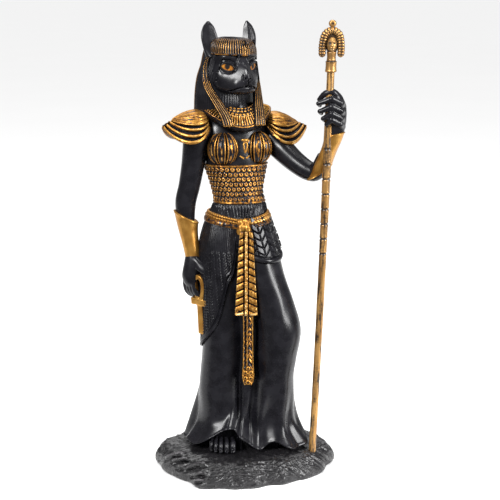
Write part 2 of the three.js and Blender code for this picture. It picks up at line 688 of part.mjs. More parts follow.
// Its dark rings are grooves, which the bore round it leaves out
function shaft(grow = 0) {
  const { first, pitch, count, width, depth } = RINGS;
  const last = first + (count - 1) * pitch + width;
  const grooves = steps(count - 1, (t) => first + t * (count - 1) * pitch);
  const middle = grow
    ? [[first - width, 0], [last, 0]]
    : grooves.flatMap((z) => [[z - width, 0], [z, -depth], [z + width, 0]]);
  const rows = [[STAFF_FOOT.z - 3 - grow, -0.8], [STAFF_FOOT.z, 0], ...middle, [230, 0], [240, 0], [262, 0]];
  return loft(
    rows.map(([z, change]) => {
      const at = staffAt(z);
      const r = shaftRadius(z)[0] + change + grow;
      return circle(6, (angle) => V(at.x + r * cos(angle * RAD), at.y + r * sin(angle * RAD), z));
    }),
  );
}

// The finial: a head in a ribbed headcloth on a socket, with a knob on top
function finial() {
  const at = (x, y, z) => staffAt(z).add(V(x, y, 0));
  const socket = loft(
    [[259.6, 2.2], [259.8, 3.5], [266, 3.3], [266.4, 2.7], [272, 2.9]].map(([z, r]) =>
      circle(7, (angle) => at(r * cos(angle * RAD), r * sin(angle * RAD), z)),
    ),
  );
  // Middle line of the headcloth's arch: x and z
  const line = [[-6, 269], [-6, 276], [-4.4, 283], [0, 285.8], [4.4, 283], [6, 276], [6, 269]];
  const arch = new THREE.CatmullRomCurve3(line.map(([x, z]) => V(x, 0, z)));
  const cloth = loft(
    steps(14, (t) => {
      const p = arch.getPoint(t);
      const out = V().crossVectors(arch.getTangent(t), V(0, 1, 0)).normalize();
      const ribbed = round(t * 14) % 2 ? 1.9 : 1.35;
      const swell = t < 0.01 || t > 0.99 ? 0.6 * ribbed : ribbed;
      return circle(5, (angle) => {
        const across = swell * cos(angle * RAD);
        return at(p.x + out.x * across, swell * 1.25 * sin(angle * RAD), p.z + out.z * across);
      });
    }),
  );
  const back = ball(at(0, 0.8, 277.5), [5.8, 2.4, 7.6], 7, 5);
  const face = ball(at(0, -1.2, 276.4), [3.2, 3, 5.2], 7, 6);
  const nose = ball(at(0, -3.9, 276), [0.7, 0.9, 1.3], 4, 3);
  const knob = ball(at(0, 0, 289), [2.5, 2.2, 2.5], 6, 4);
  return join(socket, cloth, back, face, knob, nose);
}

// Assembly

const pairs = [cup, shoulderGuard, ear, lappet].flatMap((make) => [make(-1), make(1)]);
const figureSolid = join(
  rockyBase(), skirt(), belt(), knot(), pendant(), strap(), torso(), brooch(), collar(),
  catHead(), wig(), pairs, arms(), fist(), openHand(), ankh(), foot(),
).subtract(shaft(CLEARANCE));
const staffSolid = join(shaft(), finial());

function mesh(name, made, color, roughness, metalness) {
  const { vertProperties, triVerts } = made.getMesh();
  const geometry = new THREE.BufferGeometry();
  geometry.setAttribute("position", new THREE.BufferAttribute(new Float32Array(vertProperties), 3));
  geometry.setIndex(new THREE.BufferAttribute(new Uint32Array(triVerts), 1));
  const item = new THREE.Mesh(geometry, new THREE.MeshStandardMaterial({ color, roughness, metalness }));
  item.name = name;
  return item;
}

const model = new THREE.Group();
model.add(mesh("figure", figureSolid, 0x17161a, 0.35, 0.1), mesh("staff", staffSolid, 0xa9772c, 0.4, 0.7));

// The origin is the middle of the underside of the whole object's box
const box = new THREE.Box3().setFromObject(model);
model.position.set(-(box.min.x + box.max.x) / 2, -(box.min.y + box.max.y) / 2, -box.min.z);

export default model;
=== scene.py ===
import math
import bpy
import numpy as np
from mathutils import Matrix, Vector


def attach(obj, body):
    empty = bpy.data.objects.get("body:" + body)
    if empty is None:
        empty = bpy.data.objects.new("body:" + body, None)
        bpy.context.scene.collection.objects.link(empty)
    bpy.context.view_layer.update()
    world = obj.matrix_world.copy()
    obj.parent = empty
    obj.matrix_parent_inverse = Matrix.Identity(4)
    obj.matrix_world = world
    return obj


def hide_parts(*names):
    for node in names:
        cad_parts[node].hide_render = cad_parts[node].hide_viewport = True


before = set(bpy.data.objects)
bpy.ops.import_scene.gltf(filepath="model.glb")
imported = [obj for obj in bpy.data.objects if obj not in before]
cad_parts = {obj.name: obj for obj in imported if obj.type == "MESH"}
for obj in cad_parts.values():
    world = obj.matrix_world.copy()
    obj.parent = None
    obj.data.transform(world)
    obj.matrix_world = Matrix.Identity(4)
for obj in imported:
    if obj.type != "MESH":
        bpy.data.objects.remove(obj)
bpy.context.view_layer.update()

# Lengths in the functions below are millimetres in the part's own raw frame, angles are degrees.
# The row's frame is the raw frame moved so that the box's middle is over the origin.
SHIFT = np.array([-1.3, 2.25, 0.0])
MM = 0.001

# Driving dimensions, the same as in the part's source
GROUND = 16.8
BELT_TOP = 168.5
BELT_DIP = 4.2
KNOT_ANGLE = 283
CHEST_YAW = 20
HEAD_YAW = 30
STAFF_FOOT = np.array([43.5, -12.5, 8.0])
STAFF_TOP = np.array([53.2, -24.6, 286.0])
STAFF_BOW = 0.75
OVERSKIRT_PROUD = 1.3


# Small helpers on numpy arrays

def lerp(a, b, t):
    return a + (b - a) * t


def ease(t, low, high):
    s = np.clip((t - low) / (high - low), 0, 1)
    return s * s * (3 - 2 * s)


def bump(distance, width):
    return np.exp(-((distance / width) ** 2))


def turn(a, b):
    return (a - b + 180) % 360 - 180


def cosd(angle):
    return np.cos(np.radians(angle))


def sind(angle):
    return np.sin(np.radians(angle))


def vec(x, y, z):
    return np.stack(np.broadcast_arrays(x, y, z), -1).astype(float)


def circle(count):
    """Evenly spaced angles round a full turn."""
    return np.arange(count) * 360 / count


def spun(a, b, angle):
    """Two coordinates as they read along axes turned by this angle."""
    c, s = cosd(angle), sind(angle)
    return a * c + b * s, b * c - a * s


def sided(name, side):
    return f"{name}_left" if side < 0 else f"{name}_right"


def unit(v):
    return v / np.maximum(np.linalg.norm(v, axis=-1, keepdims=True), 1e-12)


def keyed(rows):
    """A smooth function through a table whose first column is its parameter; it gives the other columns."""
    table = np.array(rows, float)
    at, value = table[:, 0], table[:, 1:]
    last = len(at) - 1
    before = np.maximum(np.arange(last + 1) - 1, 0)
    after = np.minimum(np.arange(last + 1) + 1, last)
    slope = (value[after] - value[before]) / (at[after] - at[before])[:, None]

    def read(t):
        t = np.asarray(t, float)
        i = np.clip(np.searchsorted(at, t) - 1, 0, last - 1)
        span = (at[i + 1] - at[i])[..., None]
        s = np.clip((t - at[i]) / (at[i + 1] - at[i]), 0, 1)[..., None]
        p = s * s * (3 - 2 * s)
        q = s * (1 - s)
        out = value[i] + (value[i + 1] - value[i]) * p
        out = out + span * q * ((1 - s) * slope[i] - s * slope[i + 1])
        return np.moveaxis(out, -1, 0)

    return read


def along_rows(rows):
    """The same through rows that have no parameter of their own: it runs evenly from 0 to 1."""
    return keyed([[i / (len(rows) - 1), *row] for i, row in enumerate(rows)])


def hashed(n):
    s = np.sin(np.asarray(n, float) * 127.1) * 43758.5453
    return s - np.floor(s)


def noise(p, size):
    """Smooth noise from -1 to 1 over points, with lumps of about this size (one number or three)."""
    q = p / np.asarray(size, float)
    cell = np.floor(q)
    f = q - cell
    f = f * f * (3 - 2 * f)
    total = 0
    for corner in np.ndindex(2, 2, 2):
        weight = np.prod(np.where(corner, f, 1 - f), axis=-1)
        total = total + weight * hashed((cell + corner) @ np.array([1.0, 57.3, 113.9]))
    return 2 * total - 1


def rounded(f):
    """A rounded ridge over a phase from 0 to 1, zero at both ends."""
    return np.sqrt(np.clip(1 - (2 * f - 1) ** 2, 0, 1))


def phase(x):
    return x - np.floor(x)


# Local frames: u runs to the viewer's right, v out of the front, z up

def turned(cx, cy, yaw):
    c, s = cosd(yaw), sind(yaw)
    return lambda u, v, z: vec(cx + u * c + v * s, cy + u * s - v * c, z)


chest = turned(-6, 3, CHEST_YAW)
head = turned(-8.5, 1, HEAD_YAW)


# Meshes

def put(name, points, faces, material, slot="black_resin", node="figure", **painted):
    """Makes a piece from raw points and faces, with one painted number per point for each keyword."""
    mesh = bpy.data.meshes.new(name)
    mesh.from_pydata(((points + SHIFT) * MM).tolist(), [], faces)
    mesh.update()
    mesh.shade_smooth()
    for key, values in painted.items():
        layer = mesh.attributes.new(key, "FLOAT", "POINT")
        values = np.ascontiguousarray(np.broadcast_to(values, len(points)), dtype=np.float32)
        layer.data.foreach_set("value", values)
    mesh.materials.append(material)
    piece = bpy.data.objects.new(name, mesh)
    bpy.context.scene.collection.objects.link(piece)
    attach(piece, "root")
    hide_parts(node)


def grid_normals(points):
    """Unit normals of a grid of points (rows, columns, 3), pointing away from each row's middle."""
    along = np.roll(points, -1, 1) - np.roll(points, 1, 1)
    normal = unit(np.cross(along, np.gradient(points, axis=0)))
    away = points - points.mean(axis=1, keepdims=True)
    return -normal if np.sum(normal * away) < 0 else normal


def raised(points, height):
    return points + grid_normals(points) * np.asarray(height)[..., None]


def surface(name, points, material, slot="black_resin", node="figure", capped=True, **painted):
    """A piece from a grid whose columns run round it, with a fan over its first and last row where capped."""
    rows, columns = points.shape[:2]
    ring = np.arange(columns)
    following = (ring + 1) % columns
    row = np.arange(rows - 1)[:, None] * columns
    faces = np.stack([row + ring, row + following, row + columns + following, row + columns + ring], -1)
    faces = faces.reshape(-1, 4).tolist()
    painted = {key: np.broadcast_to(value, (rows, columns)).ravel() for key, value in painted.items()}
    flat = points.reshape(-1, 3)
    if capped:
        last = (rows - 1) * columns
        middle = np.full(columns, rows * columns)
        flat = np.vstack([flat, points[0].mean(axis=0), points[-1].mean(axis=0)])
        painted = {key: np.append(value, value[[0, last]]) for key, value in painted.items()}
        faces += np.stack([following, ring, middle], -1).tolist()
        faces += np.stack([last + ring, last + following, middle + 1], -1).tolist()
    put(name, flat, faces, material, slot, node, **painted)


def nets(field, low, high, step):
    """A closed mesh of the field's zero surface between two corners: one point per cell that it crosses."""
    axes = [np.arange(a, b + step, step) for a, b in zip(low, high)]
    lattice = np.stack(np.meshgrid(*axes, indexing="ij"), -1)
    value = field(lattice)
    inside = value < 0
    size = np.array(value.shape) - 1
    total = np.zeros((*size, 3))
    count = np.zeros(size)
    for axis in range(3):
        others = [k for k in range(3) if k != axis]
        for offset in np.ndindex(2, 2):
            start = [0, 0, 0]
            start[others[0]], start[others[1]] = offset
            end = list(start)
            end[axis] = 1
            a = tuple(slice(s, s + n) for s, n in zip(start, size))
            b = tuple(slice(s, s + n) for s, n in zip(end, size))
            crossed = inside[a] != inside[b]
            share = value[a] / np.where(crossed, value[a] - value[b], 1)
            at = lattice[a] + share[..., None] * (lattice[b] - lattice[a])
            total += np.where(crossed[..., None], at, 0)
            count += crossed
    used = count > 0
    points = total[used] / count[used][:, None]
    index = np.full(size, -1)
    index[used] = np.arange(len(points))
    faces = []
    for axis in range(3):
        others = [k for k in range(3) if k != axis]
        inner = [slice(1, n) for n in size]
        inner[axis] = slice(0, size[axis])
        ahead = list(inner)
        ahead[axis] = slice(1, size[axis] + 1)
        crossed = inside[tuple(inner)] != inside[tuple(ahead)]
        flipped = inside[tuple(ahead)][crossed]
        where = np.argwhere(crossed)
        where[:, others] += 1
        corners = []
        for da, db in ((1, 1), (0, 1), (0, 0), (1, 0)):
            cell = where.copy()
            cell[:, others[0]] -= da
            cell[:, others[1]] -= db
            corners.append(index[tuple(cell.T)])
        quads = np.stack(corners, -1)
        if axis == 1:
            flipped = ~flipped
        quads[flipped] = quads[flipped][:, ::-1]
        faces.append(quads)
    for _ in range(2):
        points = points - settle(field, points, step)
    return points, np.vstack(faces).tolist()


def settle(field, points, step):
    """How far each point moves to lie on the field's zero surface."""
    tiny = 0.02
    value = field(points)
    slope = np.stack(
        [(field(points + tiny * axis) - field(points - tiny * axis)) / (2 * tiny) for axis in np.eye(3)], -1
    )
    move = value[:, None] * slope / np.maximum(np.sum(slope**2, -1, keepdims=True), 0.05)
    length = np.linalg.norm(move, axis=-1, keepdims=True)
    return move * np.minimum(1, 0.6 * step / np.maximum(length, 1e-9))


def cast(name, field, low, high, step, material, slot="black_resin", **painted):
    """A piece from a distance field between two corners, with cells of this size."""
    points, faces = nets(field, low, high, step)
    put(name, points, faces, material, slot, **painted)


# Distance fields

def blend(fields, soft):
    stack = np.stack(fields)
    least = stack.min(axis=0)
    return least - soft * np.log(np.exp(-(stack - least) / soft).sum(axis=0))


def carve(field, tool, soft):
    return -blend([-field, tool], soft)


def egg(p, centre, half):
    half = np.asarray(half, float)
    return (np.linalg.norm((p - np.asarray(centre, float)) / half, axis=-1) - 1) * half.min()


def rod(p, a, b, ra, rb):
    a, b = np.asarray(a, float), np.asarray(b, float)
    t = np.clip(((p - a) @ (b - a)) / ((b - a) @ (b - a)), 0, 1)
    return np.linalg.norm(p - a - t[..., None] * (b - a), axis=-1) - lerp(ra, rb, t)


def chain(p, rows, soft):
    """Tapered rods from row to row of x, y, z and radius."""
    return blend([rod(p, a[:3], b[:3], a[3], b[3]) for a, b in zip(rows[:-1], rows[1:])], soft)


def digit(p, rows, soft=0.3):
    """A finger, toe or arm through rows of x, y, z and radius."""
    table = keyed([[i, *row] for i, row in enumerate(rows)])
    return chain(p, table(np.linspace(0, len(rows) - 1, 3 * (len(rows) - 1) + 1)).T, soft)


# Camera: the photograph's own view

scene = bpy.context.scene
CAMERA_AT = np.array([3.2, -850.0, 308.0])
CAMERA_AIM = np.array([3.2, 0.0, 144.53])
camera_data = bpy.data.cameras.new("camera")
camera_data.lens = 96.74
camera_data.sensor_width = 36
camera_data.clip_start = 0.05
camera_data.clip_end = 200
camera = bpy.data.objects.new("camera", camera_data)
camera.location = Vector(((CAMERA_AT + SHIFT) * MM).tolist())
look = Vector((CAMERA_AIM - CAMERA_AT).tolist())
camera.rotation_euler = look.to_track_quat("-Z", "Y").to_euler()
scene.collection.objects.link(camera)
scene.camera = camera
scene.view_settings.view_transform = "Standard"


# Lights

def lamp(name, kind, power, place, toward):
    data = bpy.data.lights.new(name, kind)
    data.energy = power
    made = bpy.data.objects.new(name, data)
    made.location = place
    made.rotation_euler = Vector(toward).to_track_quat("-Z", "Y").to_euler()
    scene.collection.objects.link(made)
    return data


MIDDLE = Vector((0, 0, 0.15))
for lamp_name, lamp_place, lamp_size, lamp_power in [
    ("key", (-0.62, -0.95, 0.85), (0.26, 0.45), 24),
    ("side", (0.92, -0.55, 0.5), (0.3, 0.65), 22),
    ("top", (0.25, -0.25, 1.1), (0.2, 0.2), 2.4),
]:
    panel = lamp(lamp_name, "AREA", lamp_power, lamp_place, MIDDLE - Vector(lamp_place))
    panel.shape = "RECTANGLE"
    panel.size, panel.size_y = lamp_size

# A wide soft light from above and behind keeps the floor evenly bright
lamp("overhead", "SUN", 2.35, (0, 0, 0), (0.1, -0.45, -1)).angle = math.radians(50)

world = bpy.data.worlds.new("studio")
world.use_nodes = True
world.node_tree.nodes["Background"].inputs["Color"].default_value = (1, 1, 1, 1)
world.node_tree.nodes["Background"].inputs["Strength"].default_value = 0.3
scene.world = world


# Materials

class Shader:
    """One material's nodes, made and joined by short calls."""

    def __init__(self, name):
        self.material = bpy.data.materials.new(name)
        self.material.use_nodes = True
        self.tree = self.material.node_tree
        self.surface = self.tree.nodes["Principled BSDF"]
        self.place = self.tree.nodes.new("ShaderNodeTexCoord").outputs["Object"]

    def join(self, source, socket):
        self.tree.links.new(source, socket)

    def set(self, **values):
        for key, value in values.items():
            self.surface.inputs[key.replace("_", " ")].default_value = value

    def node(self, kind, **values):
        made = self.tree.nodes.new(kind)
        for key, value in values.items():
            setattr(made, key, value)
        return made

    def noise(self, scale, detail, stretch=None):
        made = self.node("ShaderNodeTexNoise")
        made.inputs["Scale"].default_value = scale
        made.inputs["Detail"].default_value = detail
        source = self.place
        if stretch:
            mapping = self.node("ShaderNodeMapping")
            mapping.inputs["Scale"].default_value = stretch
            self.join(source, mapping.inputs["Vector"])
            source = mapping.outputs["Vector"]
        self.join(source, made.inputs["Vector"])
        return made.outputs["Fac"]

    def feed(self, name, source):
        self.join(source, self.surface.inputs[name])

    def painted(self, key):
        return self.node("ShaderNodeAttribute", attribute_name=key).outputs["Fac"]

    def math(self, operation, a, b, clamp=False):
        made = self.node("ShaderNodeMath", operation=operation, use_clamp=clamp)
        for socket, value in zip(made.inputs, (a, b)):
            if isinstance(value, (int, float)):
                socket.default_value = value
            else:
                self.join(value, socket)
        return made.outputs[0]

    def add(self, a, b):
        return self.math("ADD", a, b)

    def times(self, a, b, clamp=False):
        return self.math("MULTIPLY", a, b, clamp)

    def centred(self, value, gain):
        """The value less a half, times the gain."""
        return self.times(self.math("SUBTRACT", value, 0.5), gain)

    def span(self, value, low, high, to_low=0.0, to_high=1.0):
        made = self.node("ShaderNodeMapRange")
        for key, number in (("From Min", low), ("From Max", high), ("To Min", to_low), ("To Max", to_high)):
            made.inputs[key].default_value = number
        self.join(value, made.inputs["Value"])
        return made.outputs["Result"]

    def mix(self, share, a, b):
        made = self.node("ShaderNodeMix", data_type="RGBA")
        self.join(share, made.inputs["Factor"])
        for socket, value in ((made.inputs["A"], a), (made.inputs["B"], b)):
            if isinstance(value, tuple):
                socket.default_value = (*value, 1)
            else:
                self.join(value, socket)
        return made.outputs["Result"]

    def bumps(self, height, strength, distance):
        made = self.node("ShaderNodeBump")
        made.inputs["Strength"].default_value = strength
        made.inputs["Distance"].default_value = distance
        self.join(height, made.inputs["Height"])
        self.join(made.outputs["Normal"], self.surface.inputs["Normal"])


BLACK = (0.0045, 0.0043, 0.0058)
BLACK_WORN = (0.0105, 0.0102, 0.0128)
GOLD_DEEP = (0.19, 0.072, 0.012)
GOLD = (0.47, 0.235, 0.046)
GOLD_PALE = (0.80, 0.56, 0.26)


def resin():
    """Black satin resin, with gold dry-brushed where the piece's own gold number is high."""
    s = Shader("black_resin")
    brushed, fine, patches = s.painted("gold"), s.noise(900, 4), s.noise(140, 3)
    level = s.add(s.add(brushed, s.centred(fine, 0.8)), s.centred(patches, 0.3))
    share = s.times(s.span(level, 0.42, 0.6), s.span(brushed, 0.05, 0.2), clamp=True)
    hue = s.mix(s.span(level, 0.5, 1.0), GOLD_DEEP, GOLD)
    hue = s.mix(s.times(s.span(level, 0.95, 1.25), 0.6), hue, GOLD_PALE)
    s.feed("Base Color", s.mix(share, s.mix(s.span(patches, 0.35, 0.75), BLACK, BLACK_WORN), hue))
    s.feed("Metallic", s.times(share, 0.7))
    s.feed("Roughness", s.add(s.span(patches, 0.3, 0.7, 0.235, 0.30), s.times(share, 0.1)))
    s.set(Specular_IOR_Level=0.2, Coat_Weight=0.02, Coat_Roughness=0.12)
    s.bumps(fine, 0.16, 0.0001)
    return s.material


def smooth_gold():
    """Satin gold paint on the bracers and the ankh."""
    s = Shader("satin_gold")
    fine, patches = s.noise(700, 4), s.noise(120, 3)
    hue = s.mix(s.span(patches, 0.3, 0.7), (0.29, 0.125, 0.018), (0.50, 0.265, 0.058))
    worn = s.times(s.span(fine, 0.62, 0.78), s.span(s.painted("worn"), 0.3, 1.0), clamp=True)
    s.feed("Base Color", s.mix(worn, hue, (0.12, 0.05, 0.015)))
    s.feed("Roughness", s.span(patches, 0.3, 0.7, 0.30, 0.40))
    s.set(Metallic=0.75)
    s.bumps(fine, 0.2, 0.00012)
    return s.material


def staff_gold():
    """Worn brown-gold paint, streaked along the staff, with darker recesses."""
    s = Shader("staff_gold")
    fine, streaks, patches = s.noise(800, 4), s.noise(620, 3, (1, 1, 0.14)), s.noise(160, 3, (1, 1, 0.25))
    level = s.add(s.add(s.painted("gold"), s.centred(fine, 0.7)), s.centred(streaks, 1.1))
    hue = s.mix(s.span(patches, 0.3, 0.7), (0.26, 0.125, 0.036), (0.56, 0.32, 0.105))
    s.feed("Base Color", s.mix(s.span(level, 0.32, 0.72), (0.022, 0.012, 0.006), hue))
    s.feed("Metallic", s.span(level, 0.3, 0.7, 0.1, 0.7))
    s.feed("Roughness", s.span(patches, 0.3, 0.7, 0.34, 0.46))
    s.bumps(fine, 0.3, 0.00015)
    return s.material


def rock():
    """Charcoal satin paint over a rough cast base, brushed grey on its high places; the grey on the gouges'
    lips is a painted highlight.
    """
    s = Shader("rock")
    fine, brush, patches = s.noise(520, 6), s.noise(900, 4, (0.32, 0.6, 1)), s.noise(70, 4)
    high = s.add(s.painted("gold"), s.centred(fine, 1.1))
    dark = s.mix(s.span(patches, 0.3, 0.7), (0.0042, 0.004, 0.0046), (0.010, 0.0093, 0.0105))
    s.feed("Base Color", s.mix(s.span(high, 0.62, 1.15), dark, (0.062, 0.058, 0.062)))
    s.feed("Roughness", s.span(fine, 0.3, 0.7, 0.23, 0.37))
    s.set(Specular_IOR_Level=0.45)
    s.bumps(s.add(s.times(fine, 0.6), brush), 0.7, 0.0006)
    return s.material


def iris():
    """Amber glaze on the eyes, with a dark pupil and rim and painted shade under the upper lid, where the
    piece's own numbers say so.
    """
    s = Shader("amber_eye")
    amber = s.mix(s.span(s.noise(1500, 3), 0.35, 0.65), (0.13, 0.032, 0.003), (0.38, 0.155, 0.014))
    s.feed("Base Color", s.mix(s.painted("dark"), amber, (0.006, 0.004, 0.004)))
    s.set(Roughness=0.14, Coat_Weight=0.5, Coat_Roughness=0.05)
    return s.material


RESIN, SATIN, STAFF, ROCK, IRIS = resin(), smooth_gold(), staff_gold(), rock(), iris()


# Floor

def floor():
    mesh = bpy.data.meshes.new("floor")
    # It starts just in front of the figure, so that the front reflects the darker studio
    reach, front, half = 80.0, -0.072, 0.4
    corners = [(-half, front, 0), (half, front, 0), (reach, reach, 0), (-reach, reach, 0)]
    mesh.from_pydata(corners, [], [(0, 1, 2, 3)])
    made = bpy.data.objects.new("floor", mesh)
    s = Shader("floor")
    s.feed("Base Color", s.mix(s.noise(3, 2), (0.92, 0.92, 0.92), (0.94, 0.94, 0.94)))
    s.set(Roughness=0.9)
    mesh.materials.append(s.material)
    scene.collection.objects.link(made)


floor()


# Rocky base

OUTLINE = keyed([
    [0, 58], [18, 59], [34, 57.6], [60, 49], [90, 43.5], [120, 48.2], [150, 56.4], [180, 59.3], [203, 54.2],
    [223, 52.6], [241, 54.6], [257, 50.4], [279, 47.2], [300, 46.2], [324, 50.6], [348, 55], [360, 58],
])
ROCK_ROWS = keyed([[0, 0.97], [2.6, 1], [6.6, 0.985], [11, 0.925], [14.2, 0.83], [16, 0.6], [16.8, 0.3]])

# Gouges at the front left: points of x and of the height that they seem to have from the front
GOUGES = [
    [(-51.8, 9.4), (-46.1, 11.7), (-37.8, 12.1)], [(-46.9, 7), (-42.9, 8.7), (-34.9, 8.8)],
    [(-43.2, 3.3), (-38.8, 4.5)], [(-38.4, 2.2), (-33.9, 4.3), (-30.1, 5.6), (-23.7, 5.6)],
    [(-35.5, -1.8), (-29.4, -0.8), (-23.7, -1.2)], [(-32.6, -5.2), (-25.6, -4.9)],
]


def rim(angle):
    return OUTLINE(angle % 360)[0] + 0.9 * sind(angle * 11) + 0.6 * sind(angle * 17)


def gouged(points):
    """The depth of the gouges at each point, with a raised lip above each and a lower one below."""
    x, seen = points[..., 0], points[..., 2] + 0.35 * (points[..., 1] + 20) + 0.4 * noise(points, 3)
    relief = np.zeros(x.shape)
    for line in GOUGES:
        xs, heights = np.array(line).T
        off = seen - np.interp(x, xs, heights)
        within = ease(x, xs[0] - 1, xs[0] + 1.5) * (1 - ease(x, xs[-1] - 3, xs[-1] + 0.5))
        relief += within * (1.5 * bump(off - 1.8, 1.1) + 0.6 * bump(off + 2, 1.1) - 2.3 * bump(off, 0.95))
    return relief * (points[..., 1] < -5)


def rocky_base():
    """The mound, with short brushed strokes all over it and long gouges at its front left."""
    angle = circle(560)
    profile = [(0.0, 0.05), (0.0, 0.6), (0.0, 0.965), (0.35, 0.972)]
    profile += [(z, ROCK_ROWS(z)[0]) for z in np.linspace(0.9, 16.7, 76)]
    profile += [(GROUND, share) for share in np.linspace(0.28, 0.01, 7)]
    reach = rim(angle)
    rows = [vec(reach * share * cosd(angle), reach * share * sind(angle), z) for z, share in profile]
    points = np.array(rows)
    height = points[..., 2]
    lift = ease(height, 0.3, 3) * lerp(0.6, 1, ease(height, 5, 12))
    radial = points * np.array([1, 1, 0.6])
    lump = 1.3 * noise(radial, 13) + 0.8 * noise(radial + 40, 5.5)
    warp = 3.6 * noise(radial + 31, 12) + 1.3 * noise(radial + 11, 4.5)

    def strokes(bend, size, seed):
        along, across = spun(points[..., 0], points[..., 1], bend)
        return noise(vec(along, across + 1.1 * height + warp, 0.3 * height) + seed, size)

    # Wavy strokes rise to the right on the left half and fall to the right on the other
    right = ease(points[..., 0] + 0.3 * points[..., 1], -2, 22)
    fine = 0.7 - 2.4 * np.abs(lerp(strokes(26, (4.2, 1.5, 9), 0), strokes(-30, (4.2, 1.5, 9), 20), right))
    broad = lerp(strokes(30, (10, 2.9, 9), 70), strokes(-24, (9, 2.6, 9), 90), right)
    waves = np.abs(broad) ** 0.6 * np.sign(broad)
    front_left = bump(turn(angle, 225), 38) * ease(height, 1, 4)
    stroke = lerp(0.8, 0.16, front_left) * fine + 0.36 * waves + 0.12 * noise(radial, 1.3)
    low = 0.7 * (1 - ease(height, 4, 9))
    cut = gouged(points)
    points = raised(points, lift * (0.4 * lump + 1.15 * stroke + cut - low))
    # Grey is brushed on the strokes' crests; the extra grey on the gouges' raised lips is a painted highlight
    grey = np.clip(0.1 + 0.95 * stroke + 0.1 * lump + 0.7 * cut - 0.25 * low, 0, 1)
    surface("base", points, ROCK, "rock", gold=grey)


# Skirt

CLOTH = keyed([
    [16, -1, 1.5, 34, 23], [35, 0.2, 1.5, 31, 21.5], [60, 1, 2, 27, 19.5], [90, 2.5, 2.5, 25.5, 18.5],
    [117, 0, 2, 25.5, 18], [134, -2, 2, 25.6, 17.5], [151, -4, 2, 23, 17], [161, -5, 2, 19.8, 15.8],
    [BELT_TOP, -5, 2, 17, 14.4], [176, -4.4, 2, 14.6, 12.4],
])
STANDING_LEG = keyed([
    [16, -19, -3, 16.5], [35, -17.6, -4, 15.6], [60, -15, -5, 14.6], [90, -13.5, -5, 13.6],
    [120, -14, -4, 13.8], [150, -14.5, -3, 13], [176, -10, 0, 9],
])
BENT_LEG = keyed([
    [16, 18, -4, 17], [35, 16.8, -5, 15.6], [60, 17.2, -7, 14.2], [75, 19, -9, 14.3], [94, 21.2, -10.5, 14.8],
    [112, 17.3, -9.5, 14.3], [132, 10.5, -7, 13.8], [150, 6, -4, 12.6], [176, 3, 0, 8],
])
# Folds start at this height; each has its angle there and at its top, its top, its depth and its width
FOLD_FOOT = 18
FOLDS = [
    (175, 179, 62, 5.6, 8), (357, 354, 74, 3.6, 10), (24, 20, 90, 3.2, 11), (57, 55, 96, 3.4, 12),
    (91, 88, 110, 3.6, 12), (122, 120, 100, 3.4, 11), (151, 158, 60, 7.4, 12),
]
CREASES = [
    (189, 190, 66, -2.6, 4.5), (203, 201, 32, 1.6, 9), (224, 219, 60, 2.0, 12), (246, 245, 92, 1.6, 5),
    (255, 254, 112, -5.2, 6.2), (265, 263, 92, 2.0, 5), (279, 297, 118, -4.4, 8), (290, 304, 110, 2.8, 6.5),
    (305, 309, 70, -2.6, 6), (320, 318, 90, 3.6, 9), (332, 331, 56, -1.8, 5), (341, 338, 66, 3.2, 7),
]
FLARE_TALL, FLARE_SLOPE = 8.5, 0.5
HEM_ROWS = keyed([
    [0, 24], [12, 23], [24, 20.5], [40, 24], [57, 20.3], [74, 24], [91, 20.3], [106, 24], [122, 20.4],
    [137, 23], [151, 19], [166, 22], [180, 18.8], [190, 20.6], [200, 22], [211, 20.4], [218, 21.4],
    [228, 25.4], [238, 29.6], [246, 31.4], [252, 30.6], [258, 28.6], [266, 25.6], [275, 22.4], [284, 19.6],
    [292, 18.9], [301, 21.6], [309, 23.2], [317, 19.8], [326, 17.8], [336, 18.2], [346, 20.6], [354, 22.6],
    [360, 24],
])
OVERSKIRT_HEM = keyed([
    [-94, 148], [-88, 146], [-72, 142.5], [-50, 140], [-20, 140.5], [0, 142], [30, 144], [60, 142],
    [90, 136], [120, 120], [150, 98], [172, 83], [184, 80.5], [200, 84.5], [216, 91.5], [229, 101.5],
    [236, 112], [244, 124], [256, 134], [266, 148],
])


def hem_height(angle):
    return HEM_ROWS(angle % 360)[0]


def overskirt_hem(angle):
    angle = angle % 360
    return OVERSKIRT_HEM(np.where(angle > 266, angle - 360, angle))[0]


def skirt_radius(angle, z):
    cx, cy, a, b = CLOTH(z)
    dx, dy = cosd(angle), sind(angle)
    reaches = [1 / np.hypot(dx / a, dy / b)]
    for leg in (STANDING_LEG, BENT_LEG):
        x, y, r = leg(z)
        along = (x - cx) * dx + (y - cy) * dy
        off = np.abs((x - cx) * dy - (y - cy) * dx)
        reach = along + np.sqrt(np.maximum(r * r - off * off, 0))
        reaches.append(np.where(off < r, np.maximum(reach, 0), 0))
    softest = sum(r**14 for r in reaches) ** (1 / 14)
    fold = 0
    for low, high, top, depth, width in [*FOLDS, *CREASES]:
        t = np.clip((z - FOLD_FOOT) / (top - FOLD_FOOT), 0, 1)
        kept = lerp(0.4, 1, ease(z, 22, 44)) if depth < 0 else 1
        fold = fold + kept * depth * (1 - t) ** 1.25 * bump(turn(angle, lerp(low, high, t)), width)
    # The front hem turns outward like a bell
    above = z - hem_height(angle)
    bell = np.log1p(np.exp(np.clip((FLARE_TALL - above) / 1.8, -30, 30))) * 1.8 * FLARE_SLOPE
    bell = bell - 2.4 * bump(above - 16, 12)
    return softest + fold + bell * (1 - ease(np.abs(turn(angle, 272)), 70, 96))


def skirt_point(angle, z, proud=0.0, share=1.0):
    angle, z = np.broadcast_arrays(np.asarray(angle, float), np.asarray(z, float))
    cx, cy = CLOTH(z)[:2]
    r = skirt_radius(angle, z) * share + proud
    return vec(cx + r * cosd(angle), cy + r * sind(angle), z)


